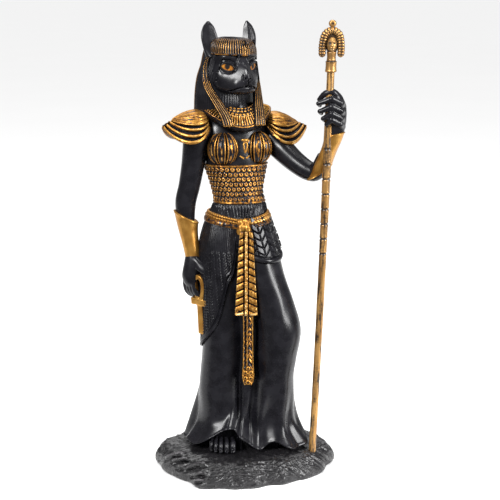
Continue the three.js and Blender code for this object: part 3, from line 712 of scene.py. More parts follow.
def skirt():
    angle = circle(360)
    hem, top = hem_height(angle), overskirt_hem(angle) + 3
    rows = [skirt_point(angle, GROUND - 1, 0, 0.68)]
    for share, rise in ((0.72, 6), (0.86, 4.4), (0.9, 2.6), (0.925, 1.0), (0.94, 0.2), (0.965, -0.15)):
        rows.append(skirt_point(angle, hem, 0, share) + vec(0, 0, rise))
    inner = len(rows)
    for t in np.linspace(0, 1, 84) ** 1.25:
        rows.append(skirt_point(angle, lerp(hem, top, t)))
    points = np.array(rows)
    above = points[..., 2] - hem
    ripple = 0.16 * noise(vec(points[..., 0], points[..., 1], points[..., 2] * 0.12), 4.5)
    height = ripple * ease(above, 2, 8) + 0.35 * bump(above - 0.5, 0.6)
    height[:inner] = 0
    surface("skirt", raised(points, height), RESIN, gold=0.0)


def round_length(z, angle):
    """Arc length round the overskirt from the knot, negative to the viewer's left, by angle."""
    points = skirt_point(angle, z)
    step = np.linalg.norm(np.roll(points, -1, 0) - points, axis=1)
    total = step.sum()
    along = np.append(0, np.cumsum(step)[:-1])
    start = np.interp(KNOT_ANGLE, angle, along)
    return (along - start + total / 2) % total - total / 2


def overskirt():
    angle = circle(500)
    hem = overskirt_hem(angle)
    along = round_length(140.0, angle)
    turned_under = ((5, -0.8), (0.6, -0.4), (0, 0.3), (-0.15, OVERSKIRT_PROUD * 0.7))
    rows = [skirt_point(angle, hem + rise, proud) for rise, proud in turned_under]
    first = len(rows)
    for t in np.linspace(0, 1, 122) ** 1.3:
        rows.append(skirt_point(angle, lerp(hem, BELT_TOP - 0.5, t), OVERSKIRT_PROUD))
    points = np.array(rows)
    z = points[..., 2]
    # Where the hem climbs, the distance from it is shorter than the height above it
    steep = np.gradient(hem) / np.gradient(np.unwrap(along, period=along.max() - along.min()))
    above = (z - hem) / np.sqrt(1 + np.minimum(steep**2, 6))
    # Right of the knot: broad feathers, parted by sharp lines that fall to a middle line
    feathered_length = 63
    right = ease(along, -1, 1) * (1 - ease(along, feathered_length - 1, feathered_length + 1))
    width, pitch = 9.2, 4.5
    x = (phase((along - 12.0) / width + 0.5) - 0.5) * width
    slope = np.where(x < 0, 0.55, 1.0)
    rise = phase((z - slope * np.abs(x)) / pitch)
    line = np.minimum(rise, 1 - rise) * pitch / np.hypot(1, slope)
    parted = np.minimum(np.minimum(line, np.abs(x)), width / 2 - np.abs(x))
    # Their barbs are flat, a little dished across each feather and turned to the right
    thick = 1.2 + x * x / 46 - 0.115 * x
    feather = thick * ease(parted, 0.18, 0.42)
    # Left of the knot: fine strands at the top, small chevrons below
    strand = 0.5 * rounded(phase(along / 1.3))
    small = 3.4
    x = phase(along / small) - 0.5
    chevron = 0.95 * rounded(phase((z - small * 1.2 * np.abs(x)) / 1.8)) * (1 - 0.3 * (2 * np.abs(x)) ** 4)
    chevron = chevron - 0.5 * bump(np.abs(x) - 0.5, 0.08) - 0.3 * bump(x, 0.07)
    left = lerp(chevron, strand, ease(z, 144.5, 147.5))
    # Edge: two piped lines on the left, one rolled edge on the right
    piped = 1.2 * bump(above - 0.7, 0.55) + 1.0 * bump(above - 2.7, 0.5)
    rolled = 1.35 * np.sqrt(np.clip(1 - ((above - 1.1) / 1.5) ** 2, 0, 1))
    relief = lerp(left, feather, right) * ease(above, 3.0, 3.6) + lerp(piped, rolled, right)
    relief[:first] = 0
    surface("overskirt", raised(points, relief - 0.25), RESIN, gold=0.0)


# Belt, knot, pendant and strap

FRONT_Y = keyed([
    [56, -23.2], [70, -22.6], [90, -21.8], [107, -22.6], [125, -21.6], [140, -19.6], [160, -17.6],
])


def belt_height(angle):
    return BELT_TOP - 0.6 - BELT_DIP * bump(turn(angle, KNOT_ANGLE), 50)


def cord(name, lift, proud, tall, thick, twist, gold, woven=0.0):
    """A twisted cord or woven band round the hips, which may differ between the knot's two sides."""
    angle, around = circle(560), circle(12)
    from_knot, from_back = turn(angle, KNOT_ANGLE), turn(angle, KNOT_ANGLE - 180)
    left = 0.5 - 0.5 * np.tanh(from_knot / 6)
    left = np.where(np.abs(from_knot) > 150, 0.5 + 0.5 * np.tanh(from_back / 6), left)
    tall, lift, gold = (lerp(pair[1], pair[0], left) for pair in (tall, lift, gold))
    height = belt_height(angle) + lift
    rows = [skirt_point(angle, height + tall * sind(a), proud + thick * cosd(a)) for a in around]
    points = np.array(rows).transpose(1, 0, 2)
    ridge = rounded(phase(angle[:, None] * twist / 360 + around / 360))
    weave = 0.5 + 0.5 * noise(points * [1, 1, 1.6], 0.9)
    edge = bump(np.abs(sind(around)) - 0.8, 0.2)
    ridge = lerp(ridge, np.maximum(weave, edge), woven)
    points = raised(points, 0.34 * (ridge - 0.6))
    paint = gold[:, None] * (0.3 + 0.8 * ridge)
    points, paint = (np.concatenate([grid, grid[:1]]) for grid in (points, paint))
    surface(name, points, RESIN, "gold_paint", capped=False, gold=paint)


def belt():
    cord("belt_upper_cord", (2.5, 2.7), 1.7, (0.65, 0.7), 0.85, 70, (0.8, 0.75))
    cord("belt_middle_cord", (0.9, 0.7), 1.9, (0.6, 1.1), 1.05, 62, (0.72, 1.0))
    cord("belt_lower_band", (-1.5, -1.7), 1.7, (1.75, 1.15), 1.15, 54, (0.62, 0.6), 0.85)


def hip_point(x, z, proud):
    angle = np.degrees(np.arctan2(-20.0, x + 4.2)) % 360
    return skirt_point(angle, z, proud)


def knot():
    parts = [
        (hip_point(-1.6, 165.2, 2.2), (2.7, 2.2, 2.3)), (hip_point(3.1, 165.4, 2.2), (2.7, 2.2, 2.3)),
        (hip_point(0.8, 162.2, 2.6), (3.7, 2.4, 2.6)), (hip_point(-2.2, 159.6, 2.2), (2.0, 1.9, 2.9)),
        (hip_point(3.8, 159.4, 2.2), (2.0, 1.9, 2.9)),
    ]
    middle = hip_point(0.8, 163.4, 3.4)

    def field(p):
        whole = blend([egg(p, at, half) for at, half in parts], 0.45)
        whole = carve(whole, egg(p, middle + np.array([0, -1.2, 2.6]), (0.7, 1.6, 1.8)), 0.3)
        groove = 0.14 * np.sin((p[..., 0] - 0.8) * 3.1 + 0.5 * (p[..., 2] - 163))
        return whole + groove

    centre = hip_point(0.8, 162.5, 0)
    points, faces = nets(field, centre - np.array([8, 7, 7]), centre + np.array([8, 4, 7]), 0.32)
    paint = 0.72 + 0.3 * noise(points, 2.2)
    put("belt_knot", points, faces, RESIN, "gold_paint", gold=paint)


def slab(name, z, half, relief, paint, middle):
    """A hanging strip: relief over its front, plain sides that turn back to the cloth."""
    y = FRONT_Y(z)[0][:, None]
    front = vec(middle + half[:, None] * np.linspace(-1, 1, relief.shape[1]), y - relief, z[:, None])
    sides = []
    for edge, depth in ((-1, 1.75), (-1, 5.0), (0, 5.0), (0, 1.75)):
        sides.append(front[:, [edge]] * [1, 0, 1] + vec(0, y + depth, 0))
    gold = np.concatenate([paint, np.zeros((len(z), len(sides)))], axis=1)
    surface(name, np.concatenate([front, *sides], axis=1), RESIN, "gold_paint", gold=gold)


def pendant():
    """Feathered pendant: a spine with blocks on each side, parted by lines that fall outward."""
    top, bottom, barbs = 160.0, 107.4, 11.5
    pitch = (top - bottom) / barbs
    t = np.linspace(0, 1, 210)[:, None]
    z, half = lerp(top, bottom, t), lerp(4.1, 7.2, t)
    u = np.linspace(-1, 1, 64)
    x = np.abs(u) * half
    level = t * (top - bottom)
    f = phase((level - 0.45 * x) / pitch + 0.35)
    line = np.minimum(f, 1 - f) * pitch
    foot = bottom + 1.5 - z
    spine = 1 - ease(x, 0.72, 0.98)
    gap = bump(x - 1.32, 0.34) * (1 - spine)
    groove = bump(line, 0.36) * (1 - spine) * ease(foot, 0.2, -0.2)
    block = 0.75 * ease(line, 0.1, 0.75) + 0.25 * ease(line, 0.6, 2.2)
    relief = 1.5 + 0.5 * (1 - (x / 7.6) ** 2) + block - 1.2 * gap - 0.9 * groove + 0.95 * spine
    relief = relief + 0.12 * spine * np.cos(level * 3.2)
    border = np.clip(bump(half - x, 0.45) + ease(foot, -0.3, 0.2), 0, 1)
    relief = relief * ease(half - x, -0.3, 0.5) ** 0.5 + 0.3 * border
    paint = 0.80 + 0.34 * noise(vec(u * half, z, 0), (0.7, 1.0, 1)) + 0.3 * border + 0.25 * spine
    paint = paint * (1 - np.clip(1.35 * gap + 1.35 * groove, 0, 1))
    slab("pendant", z[:, 0], half[:, 0], relief, paint, 0.8)


def strap():
    """The belt's hanging end: a thin rail, a gap, and a band with scuffed zigzags that ends in beads."""
    z = np.linspace(110, 61.5, 160)[:, None]
    half = keyed([[61.5, 2.4], [64, 3.4], [68, 3.9], [74, 3.5], [90, 3.2], [110, 3.3]])(z)[0]
    x = np.linspace(-1, 1, 36) * half
    edge = half - np.abs(x)
    above_beads = ease(z, 72, 76)
    gap = bump(x + 0.55 * half, 0.32) * above_beads
    rail = np.clip(bump(edge - 0.35, 0.36) + bump(x + 0.2 * half, 0.3) * above_beads, 0, 1)
    zigzag = np.cos(2 * np.pi * (z / 3.4 + 0.6 * np.abs(x - 0.8)))
    wander = noise(vec(x, z, 3.0), (0.9, 1.5, 1))
    relief = 1.2 + 0.5 * rail + 0.22 * zigzag * (1 - rail) + 0.15 * wander - 0.8 * gap
    relief = relief * ease(edge, -0.2, 0.35) ** 0.5
    paint = 0.40 + 0.6 * rail + (0.22 * zigzag + 0.55 * wander) * (1 - rail)
    slab("strap", z[:, 0], half[:, 0], relief, paint * (1 - gap), 2.0)
    beads = [
        (2, 72.4, 1.5), (0.2, 69.6, 1.5), (3.8, 69.6, 1.5), (2, 68.4, 1.25), (0.4, 66, 1.5), (3.6, 66, 1.5),
        (2, 63.4, 1.8),
    ]
    for number, (bx, bz, r) in enumerate(beads):
        bead(f"strap_bead_{number + 1}", (bx, FRONT_Y(bz)[0] - 1.5, bz), (r, r * 0.85, r), 0.85)


def bead(name, centre, half, gold, material=RESIN, slot="gold_paint", node="figure"):
    """A small rounded bead with a dimple in its front."""
    polar = np.linspace(-89, 89, 12)[:, None]
    angle = circle(20)
    ball = vec(cosd(polar) * cosd(angle), -sind(polar), cosd(polar) * sind(angle))
    dimple = 0.22 * ease(ball[..., 1], -0.8, -1.0)
    points = np.asarray(centre) + ball * np.asarray(half) + vec(0, dimple * half[1], 0)
    paint = gold * (1 - 0.7 * ease(ball[..., 1], -0.86, -0.99)) * ease(ball[..., 1], 0.5, -0.1)
    surface(name, points, material, slot, node, gold=paint)


# Torso

TORSO = keyed([
    [160, -4.2, 2, 20, 15, 12], [168, -4.2, 2, 17.5, 13.6, 13], [176.5, -3.7, 2, 15.4, 12.4, 15],
    [183, -4.8, 2.2, 15.2, 12, 17], [192, -5.4, 2.6, 17.2, 13.2, 19], [200, -6, 3, 19.4, 14.4, 20],
    [208, -6.2, 3.2, 20.4, 14.6, 20], [216, -6.3, 3.5, 21.2, 13.8, 20], [224, -6.4, 4, 21, 12, 20],
    [230, -6.5, 4.6, 17.5, 10, 20], [235, -6.7, 4.4, 11.6, 8.4, 20], [240, -7, 3.4, 8, 7.6, 22],
    [252, -7.6, 2, 7.4, 7.6, 26],
])
CORSET_BOTTOM, CORSET_TOP, CORSET_ROWS, CORSET_PROUD = 177.4, 199.6, 7, 1.0


def torso_point(angle, z, proud=0.0):
    """Angle 90 is the front of the chest."""
    cx, cy, a, b, yaw = TORSO(z)
    return turned(cx, cy, yaw)((a + proud) * cosd(angle), (b + proud) * sind(angle), z)


def torso():
    angle = circle(110)
    points = torso_point(angle, np.linspace(160, 251, 60)[:, None])
    z = points[..., 2]
    hollow = -0.5 * bump(turn(angle, 90), 18) * ease(z, 202, 214) * (1 - ease(z, 218, 230))
    tendon = 0.7 * (bump(turn(angle, 62), 9) + bump(turn(angle, 118), 9)) * ease(z, 232, 240)
    surface("torso", raised(points, hollow + tendon), RESIN, gold=0.0)


def waistband():
    """Fine pleats between the belt and the corset, which draw together towards the knot."""
    angle = circle(440)
    z = np.linspace(160, 177, 13)[:, None]
    side = turn(angle, 86)
    pleat = rounded(phase(side / lerp(4.8, 7.8, ease(z, 163, 177)) + 0.5))
    pleat = pleat * (1 - ease(np.abs(side), 150, 175))
    depth = 1.5 * (1 - 0.8 * ease(z, 174.5, 176.5))
    surface("waistband", raised(torso_point(angle, z), 0.3 + depth * pleat), RESIN, gold=0.0)


def corset():
    """Rows of upright oval scales between two rolled rims; each scale has a dark dot above its middle."""
    angle, per_row = circle(442), 9
    pitch = (CORSET_TOP - CORSET_BOTTOM) / CORSET_ROWS
    rim_rows = [(-1.2, -1.2), (-1.2, 0.3), (-1.05, 0.65), (-0.7, 0.8), (-0.3, 0.65), (0, 0.1)]
    low = [(CORSET_BOTTOM + dz, CORSET_PROUD + out, 1) for dz, out in rim_rows]
    high = [(CORSET_TOP - dz, CORSET_PROUD + out, 1) for dz, out in reversed(rim_rows)]
    levels = np.linspace(CORSET_BOTTOM, CORSET_TOP, CORSET_ROWS * per_row + 1)[1:-1]
    profile = low + [(z, CORSET_PROUD - 0.35, 0) for z in levels] + high
    z, proud, rimmed = np.array(profile).T[..., None]
    points = torso_point(angle, z, proud)
    count = 34
    row = (z - CORSET_BOTTOM) / pitch
    number = np.floor(row)
    y = row - number
    x = phase(angle * count / 360 + 0.5 * (number % 2)) - 0.5
    reach = np.hypot(x / 0.44, (y - 0.5) / 0.47)
    scale = np.sqrt(np.clip(1 - reach**2.6, 0, 1))
    dot = bump(np.hypot(x * 3.1, (y - 0.6) * pitch), 0.56)
    scuff = noise(points, 1.3)
    brushed = lerp(0.56, 0.94, 0.5 + 0.5 * noise(points, 9))
    brushed = brushed * lerp(1, 0.62, ease(-turn(angle, 90), 30, 75))
    paint = brushed * (1.2 * ease(scale, 0.25, 0.7) + 0.35 * scuff * scale) * (1 - dot)
    paint = lerp(paint, 0.62 + 0.35 * scuff, rimmed)
    points = raised(points, np.where(rimmed, 0, 1.15 * scale - 0.7 * dot))
    surface("corset", points, RESIN, "gold_paint", capped=False, gold=np.clip(paint, 0, 1.15))


def cup(side):
    """A fluted breast cup: petals from its top to its foot, each with gold rims and a scuffed middle."""
    wide, deep, tall, z, petals = 9.8, 9.8, 10.4, 211, 9
    polar = np.linspace(-86, 86, 64)[:, None]
    angle = circle(200)
    across = cosd(polar)
    u, v = side * 11 + wide * across * cosd(angle), 8 + deep * across * sind(angle)
    points = chest(u, v, z + tall * sind(polar))
    f = np.abs(phase((angle - 90 - side * 14) * petals / 360 + 0.5) - 0.5) * 2
    width = across * wide * np.pi / petals
    fade = ease(width, 0.3, 1.0)
    lip, gap = bump(f - 0.72, 0.15), bump(f - 1, 0.15)
    height = fade * (0.6 * lip - 1.1 * gap + 0.3 * bump(f, 0.4)) * np.clip(width / 1.8, 0.35, 1.2)
    middle = bump(f, 0.38) * ease(np.abs(sind(polar)), 0.97, 0.4)
    paint = lip + middle * (0.62 + 1.15 * noise(points, (0.8, 0.8, 3.0)))
    paint = paint * (1 - gap) * (0.95 + 0.2 * noise(points + 9, 3.0)) + 0.6 * (1 - fade)
    surface(sided("cup", side), raised(points, height), RESIN, "gold_paint", gold=np.clip(paint, 0, 1.35))


def tube(name, centres, radius, sides=14):
    """A round gilded bar along a line of points, tapered to rounded ends."""
    along = unit(np.gradient(centres, axis=0))
    side = unit(np.cross(along, np.array([0.05, 1, 0.02])))
    deep = np.cross(side, along)
    length = np.append(0, np.cumsum(np.linalg.norm(np.diff(centres, axis=0), axis=1)))
    ends = np.clip(np.minimum(length, length[-1] - length) / radius, 0, 1)
    shape = (radius * np.sqrt(np.clip(1 - (1 - ends) ** 2, 0.02, 1)))[:, None, None]
    angle = circle(sides)[:, None]
    points = centres[:, None] + side[:, None] * (shape * cosd(angle)) + deep[:, None] * (shape * sind(angle))
    surface(name, points, RESIN, "gold_paint", gold=0.9)


def ornament():
    """Between the cups: a short bar over a hollow drop, and a small wing to each side below."""
    front = 18.4
    t = np.linspace(0, 1, 40)
    tube("ornament_bar", chest(lerp(-2.3, 2.3, t), front - 1.2 * (2 * t - 1) ** 2, 217.0), 0.8)
    a = 360 * np.linspace(0, 1, 120) - 270
    wide = 1.45 * (0.62 + 0.38 * sind(a))
    drop = chest(wide * cosd(a) * 1.15, front + 0.2 - 0.3 * sind(a) ** 2, 212.4 + 3.3 * sind(a))
    tube("ornament_drop", drop, 0.5, sides=10)
    for side in (-1, 1):
        wing = chest(side * lerp(0.7, 3.2, t), front - 0.4 - 1.4 * t, 205.6 + 1.5 * t**1.3)
        tube(sided("ornament_wing", side), wing, lerp(0.75, 0.4, t), sides=10)


def collar():
    """Broad collar: three rows of beads from the neck outward, then a border of upright strips."""
    columns, rows = 532, 48
    angle = circle(columns)
    share = np.linspace(0, 1, rows)[:, None]
    outer = 224.2 + 11.4 * cosd(angle) ** 2
    a, b = lerp(10.6, 23.2, share), lerp(9.4, 16.9, share)
    height = lerp(236.2 + 2 * cosd(angle) ** 2, outer, share**1.1) + 0.6 * np.sin(np.pi * share)
    points = chest(a * cosd(angle), b * sind(angle), height)
    reach = 13.0
    out = share * reach
    pitch, bead_rows = 2.15, 3
    row = np.minimum(np.floor(out / pitch), bead_rows - 1)
    circumference = 2 * np.pi * lerp(10, 20, (row + 0.5) * pitch / reach)
    count = np.round(circumference / 2.2)
    x = phase(angle * count / 360 + 0.5 * (row % 2)) - 0.5
    y = out / pitch - row - 0.5
    ball = np.sqrt(np.clip(1 - np.hypot(x / 0.44, y / 0.46) ** 2, 0, 1))
    border = pitch * bead_rows
    strips = ease(out, border, border + 0.3)
    strip_x = phase(angle * 76 / 360) - 0.5
    strip = np.sqrt(np.clip(1 - (strip_x / 0.36) ** 2, 0, 1)) * (1 - ease(out, 11.6, 12.1))
    lip = np.clip(bump(out - border - 0.2, 0.35) + bump(out - 12.5, 0.4), 0, 1)
    relief = lerp(0.95 * ball, 0.85 * strip, strips) + 0.6 * lip
    paint = lerp(0.8 * ease(ball, 0.3, 0.8), 0.9 * ease(strip, 0.35, 0.8), strips)
    paint = paint * (1 + 0.4 * noise(points, 1.5)) + 0.85 * lip
    under = (points - [0, 0, 2.4])[[-1, rows // 2, 0]]
    both = np.concatenate([raised(points, relief), under])
    gold = np.clip(np.concatenate([paint, np.zeros((len(under), columns))]), 0, 1.1)
    surface("collar", both, RESIN, "gold_paint", capped=False, gold=gold)


# The guards' plates from the shell down: reach of the tip, drop, half width and height of the tip
PLATES = [(42.6, 3.2, 11.4, 228.4), (44.4, 6.4, 13, 228), (46.8, 9.8, 14.4, 227.2), (49.2, 13, 15.6, 226.6)]
BELLY_SHARES = (0.9, 0.55, 0.2, -0.2, -0.55, -0.9)


def shoulder_guard(side):
    """A gold shell with grain lines over nested plates with raised gold rims."""
    skew, full = (0.9, 0.62) if side < 0 else (0.7, 1)
    s = np.linspace(0.04, 0.972, 90)

    def edge(k):
        tip, drop, wide, tip_height = PLATES[k]
        fallen = drop * sind(180 * s**skew) ** full
        half = wide * sind(180 * s**0.75) ** 0.8
        return vec(lerp(18.5, tip, s), half, lerp(229.5, tip_height, s) - fallen)

    # The outline of one half, from the lowest plate's rim to the crest
    crest = vec(lerp(18.5, 41, s), 0, lerp(231.5, 229.5, s) + 3.8 * sind(180 * s**0.85))
    corners = []
    for k in (3, 2, 1, 0):
        rim_line = edge(k)
        corners.append(("rim", rim_line))
        if k:
            above = edge(k - 1) - [0, 1.9, 0.4]
            corners.append(("inset", vec(rim_line[:, 0] - 1.2, *lerp(above, rim_line, 0.1)[:, 1:].T)))
    for share in (0.2, 0.42, 0.65, 0.85):
        rise = lerp(rim_line[:, 2], crest[:, 2], sind(90 * share))
        arch = vec(lerp(rim_line[:, 0], crest[:, 0], share), rim_line[:, 1] * cosd(90 * share), rise)
        corners.append(("shell", arch))
    corners.append(("shell", crest))
    half_profile, paint, height, smooth = [], [], [], []
    t = np.arange(8) / 8
    for (kind, start), (following, end) in zip(corners[:-1], corners[1:]):
        if following == "shell":
            gold, lift = 0.97 + 0 * t, 0.4 * bump(t, 0.5) * (kind == "rim")
        elif kind == "rim":
            lip = bump(t - 0.1, 0.2)
            gold, lift = 1.15 * lip, lip + 0.35 * np.sin(np.pi * t)
        else:
            lip = bump(1 - t, 0.25)
            gold, lift = 1.1 * lip, 0.7 * lip - 0.3 * (1 - t)
        half_profile.extend(lerp(start, end, step) for step in t)
        paint.extend(gold)
        height.extend(lift)
        smooth.extend(t >= 0 if following == "shell" else t < 0)
    front = np.array(half_profile)
    x, half, z = edge(3).T
    sag = 2.2 * np.sin(np.pi * s)
    belly = [vec(x - 2.5, -half * share, z - sag * (1 - share**2) - 0.2) for share in BELLY_SHARES]
    profile = np.concatenate([front, crest[None], front[::-1] * [1, -1, 1], belly]).transpose(1, 0, 2)

    def all_round(values, at_crest):
        return np.concatenate([values, [at_crest], values[::-1], np.zeros(len(belly))])

    u, v, z = np.moveaxis(profile, -1, 0)
    # The left guard sits higher, and the right one leans down outward
    points = chest(side * u, v, z + (1.0 if side < 0 else -0.8 - 0.09 * (u - 18)))
    shell = all_round(smooth, 1) > 0
    # Grain lines run out from the neck over the shell, each in its own place across it
    grain = noise(vec(u * 0.12, np.arange(u.shape[1]), 0), (1, 1.7, 1))
    relief = all_round(height, 0) + np.where(shell, 0.3 * grain, 0.12 * grain)
    scuff = noise(points, 1.6)
    # The gold covers the plates' inner ends and thins out towards the tip
    gold = all_round(paint, 0.97)
    inner_end = ease(s, 0.3, 0.12)[:, None] * (0.75 + 0.3 * grain) * (gold + relief > 0.02)
    plate_gold = np.maximum(gold * lerp(1.0, 0.8, s)[:, None], inner_end) * (1 + 0.25 * scuff)
    gold = np.clip(np.where(shell, 0.72 + 0.36 * grain + 0.1 * scuff, plate_gold), 0, 1.2)
    surface(sided("shoulder_guard", side), raised(points, relief), RESIN, "gold_paint", gold=gold)


# Head

MASSES = [
    ((0, -2, 264), (14.2, 14, 13)),
    ((-10, 3.6, 256), (5.6, 7, 7.8)), ((10, 3.6, 256), (5.6, 7, 7.8)),
    ((0, 5.4, 250.2), (11.4, 10, 4.8)),
    ((0, 8, 264.4), (4.4, 7, 5)), ((0, 12.6, 259.6), (3.2, 6.4, 4.2)),
    ((-4.2, 12.4, 252.4), (4.3, 6.1, 4.0)), ((4.2, 12.4, 252.4), (4.3, 6.1, 4.0)),
    ((0, 16.8, 254.6), (3.6, 4.2, 3.2)),
    ((0, 11.8, 248.2), (7.4, 7.6, 3.2)),
    ((-7, 7.4, 268.4), (5.6, 5, 2.6)), ((7, 7.4, 268.4), (5.6, 5, 2.6)),
]
MOUTH_LEFT = [(-8.6, 248.0), (-7.4, 248.6), (-5.2, 249.8), (-2.6, 250.3)]
MOUTH = [*MOUTH_LEFT, (0, 250.6), *[(-x, z) for x, z in reversed(MOUTH_LEFT)]]
EYE_MIDDLE, EYE_HALF, EYE_TALL = (8.8, 10.9, 262.0), 4.9, 2.6
# Degrees that an eye faces out from straight ahead, and that its outer corner is raised
EYE_FACING, EYE_TILT = 30, 15


def eye_frame(p, side):
    """Along the eye outward, out of the face and up, from its middle, for points in the head's frame."""
    along, out = spun(side * p[..., 0] - EYE_MIDDLE[0], p[..., 1] - EYE_MIDDLE[1], -EYE_FACING)
    along, up = spun(along, p[..., 2] - EYE_MIDDLE[2], EYE_TILT)
    return along, out, up


def almond(along, up):
    """Less than 1 inside the eye's almond outline."""
    t = np.clip(np.abs(along) / EYE_HALF, 0, 1.6)
    open_up = EYE_TALL * np.maximum(1 - t**2, 0.0) ** 0.8
    shape = np.abs(up) / np.maximum(open_up, 0.25)
    return np.maximum(np.where(t < 1, shape, 1 + 4 * (t - 1)), 0.0)


def lens(p, centre, normal, along, half):
    """A flat rounded patch with the given face, by its half sizes along, across and out of the face."""
    normal, along = unit(np.asarray(normal, float)), np.asarray(along, float)
    along = unit(along - (along @ normal) * normal)
    axes = np.stack([along, np.cross(normal, along), normal])
    return egg((p - np.asarray(centre, float)) @ axes.T, (0, 0, 0), half)


def from_line(x, y, line):
    """Distance in a plane from each point to a line of straight pieces."""
    nearest = np.full(x.shape, 1e9)
    for (x0, y0), (x1, y1) in zip(line[:-1], line[1:]):
        dx, dy = x1 - x0, y1 - y0
        t = np.clip(((x - x0) * dx + (y - y0) * dy) / (dx * dx + dy * dy), 0, 1)
        nearest = np.minimum(nearest, np.hypot(x - x0 - t * dx, y - y0 - t * dy))
    return nearest


def scored(whole, across, line, radius, depth):
    """Cuts a groove of even depth along a line on the face; two coordinates of each point say where."""
    away = from_line(*across, line) - radius
    return carve(whole, np.maximum(away, -depth - whole), 0.16)


def head_field(p):
    """Signed distance to the cat's head, for points in the head's frame."""
    whole = blend([egg(p, centre, half) for centre, half in MASSES], 1.3)
    for side in (-1, 1):
        # A smooth plane runs from the cheekbone to the side of the nose
        face, inward = (side * 0.683, 0.672, 0.284), (side * -0.7, 0.7, -0.1)
        under = rod(p, (side * 8.6, 4.4, 257.6), (side * 2.8, 13.8, 256.0), 4.9, 3.4)
        cheek = lens(p, (side * 7.0, 13.9, 258.4), face, inward, (8.6, 5.8, 1.15))
        brow = lens(p, (side * 10.8, 7.5, 266.3), face, inward, (4.4, 2.3, 1.3))
        nose_wing = egg(p, (side * 1.6, 19.4, 255.9), (1.3, 1.5, 1.3))
        whole = blend([blend([whole, under], 0.9), cheek, brow, nose_wing], 0.35)
        along, out, up = eye_frame(p, side)
        socket = np.hypot(np.hypot(along / 5.4, (up + 0.1) / 3.3), (out - 1.5) / 2.1) - 1
        whole = carve(whole, socket * 2.0, 0.4)
        # Rounded lids above and below the eye, drawn out to the corners
        lid = np.abs(almond(along, up) - 1.06) * 1.9
        near = np.hypot(lid, out - 0.45) - 0.72
        near = np.maximum(near, np.abs(along) - 6.2)
        whole = blend([whole, near], 0.22)
        # Crease above the upper lid
        fold = [(-5.4, 1.2), (-3.0, 3.9), (0.4, 4.6), (3.6, 3.7), (5.8, 2.0)]
        across = vec(along, up, out * 0.5)
        for start, end in zip(fold[:-1], fold[1:]):
            whole = carve(whole, rod(across, (*start, 0.2), (*end, 0.2), 0.3, 0.3), 0.2)
        nostril = egg(p, (side * 1.7, 21.1, 255.4), (0.75, 1.0, 0.5))
        whole = carve(whole, nostril, 0.2)
    # Lines are scored in the front only: points further back are read as if they lay to the side
    seen = (p[..., 0] + np.where(p[..., 1] > 6, 0, 9), p[..., 2])
    for side in (-1, 1):
        beside_nose = [(side * 2.6, 257.4), (side * 3.5, 255.6), (side * 3.1, 253.8)]
        whole = scored(whole, seen, beside_nose, 0.25, 0.4)
    whole = scored(whole, seen, MOUTH, 0.42, 0.9)
    return scored(whole, seen, [(0, 254.6), (0, 250.4)], 0.25, 0.5)


def cat_head():
    points, faces = nets(head_field, (-15.5, -17.2, 245.2), (15.5, 22.8, 278.5), 0.4)
    put("cat_head", head(*points.T), faces, RESIN, gold=0.0)


def eyeball(side):
    """A glazed almond in the socket, with an amber iris, a pupil, a dark rim and painted shade under the
    upper lid.
    """
    share = np.linspace(0, 1, 14)[:, None]
    angle = circle(72)
    outline = EYE_HALF * 0.97 * cosd(angle)
    open_up = EYE_TALL * np.maximum(1 - (np.abs(outline) / EYE_HALF) ** 2, 0) ** 0.8
    along, up = outline * share, np.sign(sind(angle)) * open_up * share
    out = 0.95 * (1 - (along / 6.6) ** 2 - (up / 4.4) ** 2) - 0.3
    flat_along, z = spun(along, up, -EYE_TILT)
    u, v = spun(flat_along, out, EYE_FACING)
    points = head(side * (EYE_MIDDLE[0] + u), EYE_MIDDLE[1] + v, EYE_MIDDLE[2] + z)
    pupil = 1 - ease(np.hypot(along + 0.2 * side, (up - 0.5) * 0.85), 1.35, 1.7)
    # A dark rim round the edge, and painted shade over the top of the eye where the upper lid would shadow it
    rim_and_lid_shade = np.maximum(ease(share, 0.7, 0.86), 0.8 * ease(up, 0.7, 1.9))
    corner = ease(np.abs(along), 3.5, 4.2)
    dark = np.clip(pupil + np.maximum(rim_and_lid_shade, 0.75 * corner), 0, 1)
    surface(sided("eye", side), points, IRIS, capped=False, dark=dark)


def ear(side):
    """A tall leaf-shaped ear. The left one opens to the front; the right one shows its smooth inner side."""
    table = keyed([
        [0, 12.4, -0.3, 5.0, 3.8, 0], [0.3, 13.5, -1.3, 5.5, 3.5, 0.8], [0.6, 14.4, -2.6, 5.2, 2.9, 0.9],
        [0.85, 14.2, -3.8, 3.5, 2.0, 0.7], [1, 13.9, -4.8, 0.7, 0.5, 0],
    ])
    t = np.linspace(0, 1, 50)[:, None]
    angle = circle(80)
    u, v, wide, thick, hollow = table(t)
    across, through = cosd(angle), sind(angle)
    if side < 0:
        facing = -12
        front = through - 0.66 * hollow * (1 - np.abs(across) ** 2.6)
    else:
        # A flat inner side rises to a ridge, and the hollow falls away beyond it
        facing, ridge = -30, -0.1
        wide = wide * 0.78
        flat, dished = (1 + across) / (1 + ridge), np.clip((1 - across) / (1 - ridge), 0, 1) ** 1.9
        opened = 0.3 * np.minimum(flat, 1) * np.where(across < ridge, 1, dished)
        lines = 0.07 * np.cos(across * 26) * hollow * bump(across - 0.5, 0.3)
        front = lerp(through, opened, hollow ** 0.3) + lines
    du, dv = spun(wide * across, thick * np.where(through > 0, front, through), facing)
    surface(sided("ear", side), head(side * u + du, v + dv, lerp(268, 290, t)), RESIN, gold=0.0)


# Wig

WIG = keyed([
    [208, -12, -1, 17, 5], [214, -11.5, -1.2, 18.8, 7], [222, -10, -1.6, 19.9, 9.5], [235, -6, -2, 20.3, 12],
    [247, -5.5, -2, 19.9, 12], [256, -5, -1.7, 18.8, 12.4], [263, -4.4, -0.8, 17.2, 13],
    [270, -4, 0, 16.2, 13.6], [275.4, -3.5, 0, 14.2, 12.6], [278.9, -3, 0, 9.4, 8.8], [280.3, -3, 0, 3, 3],
])


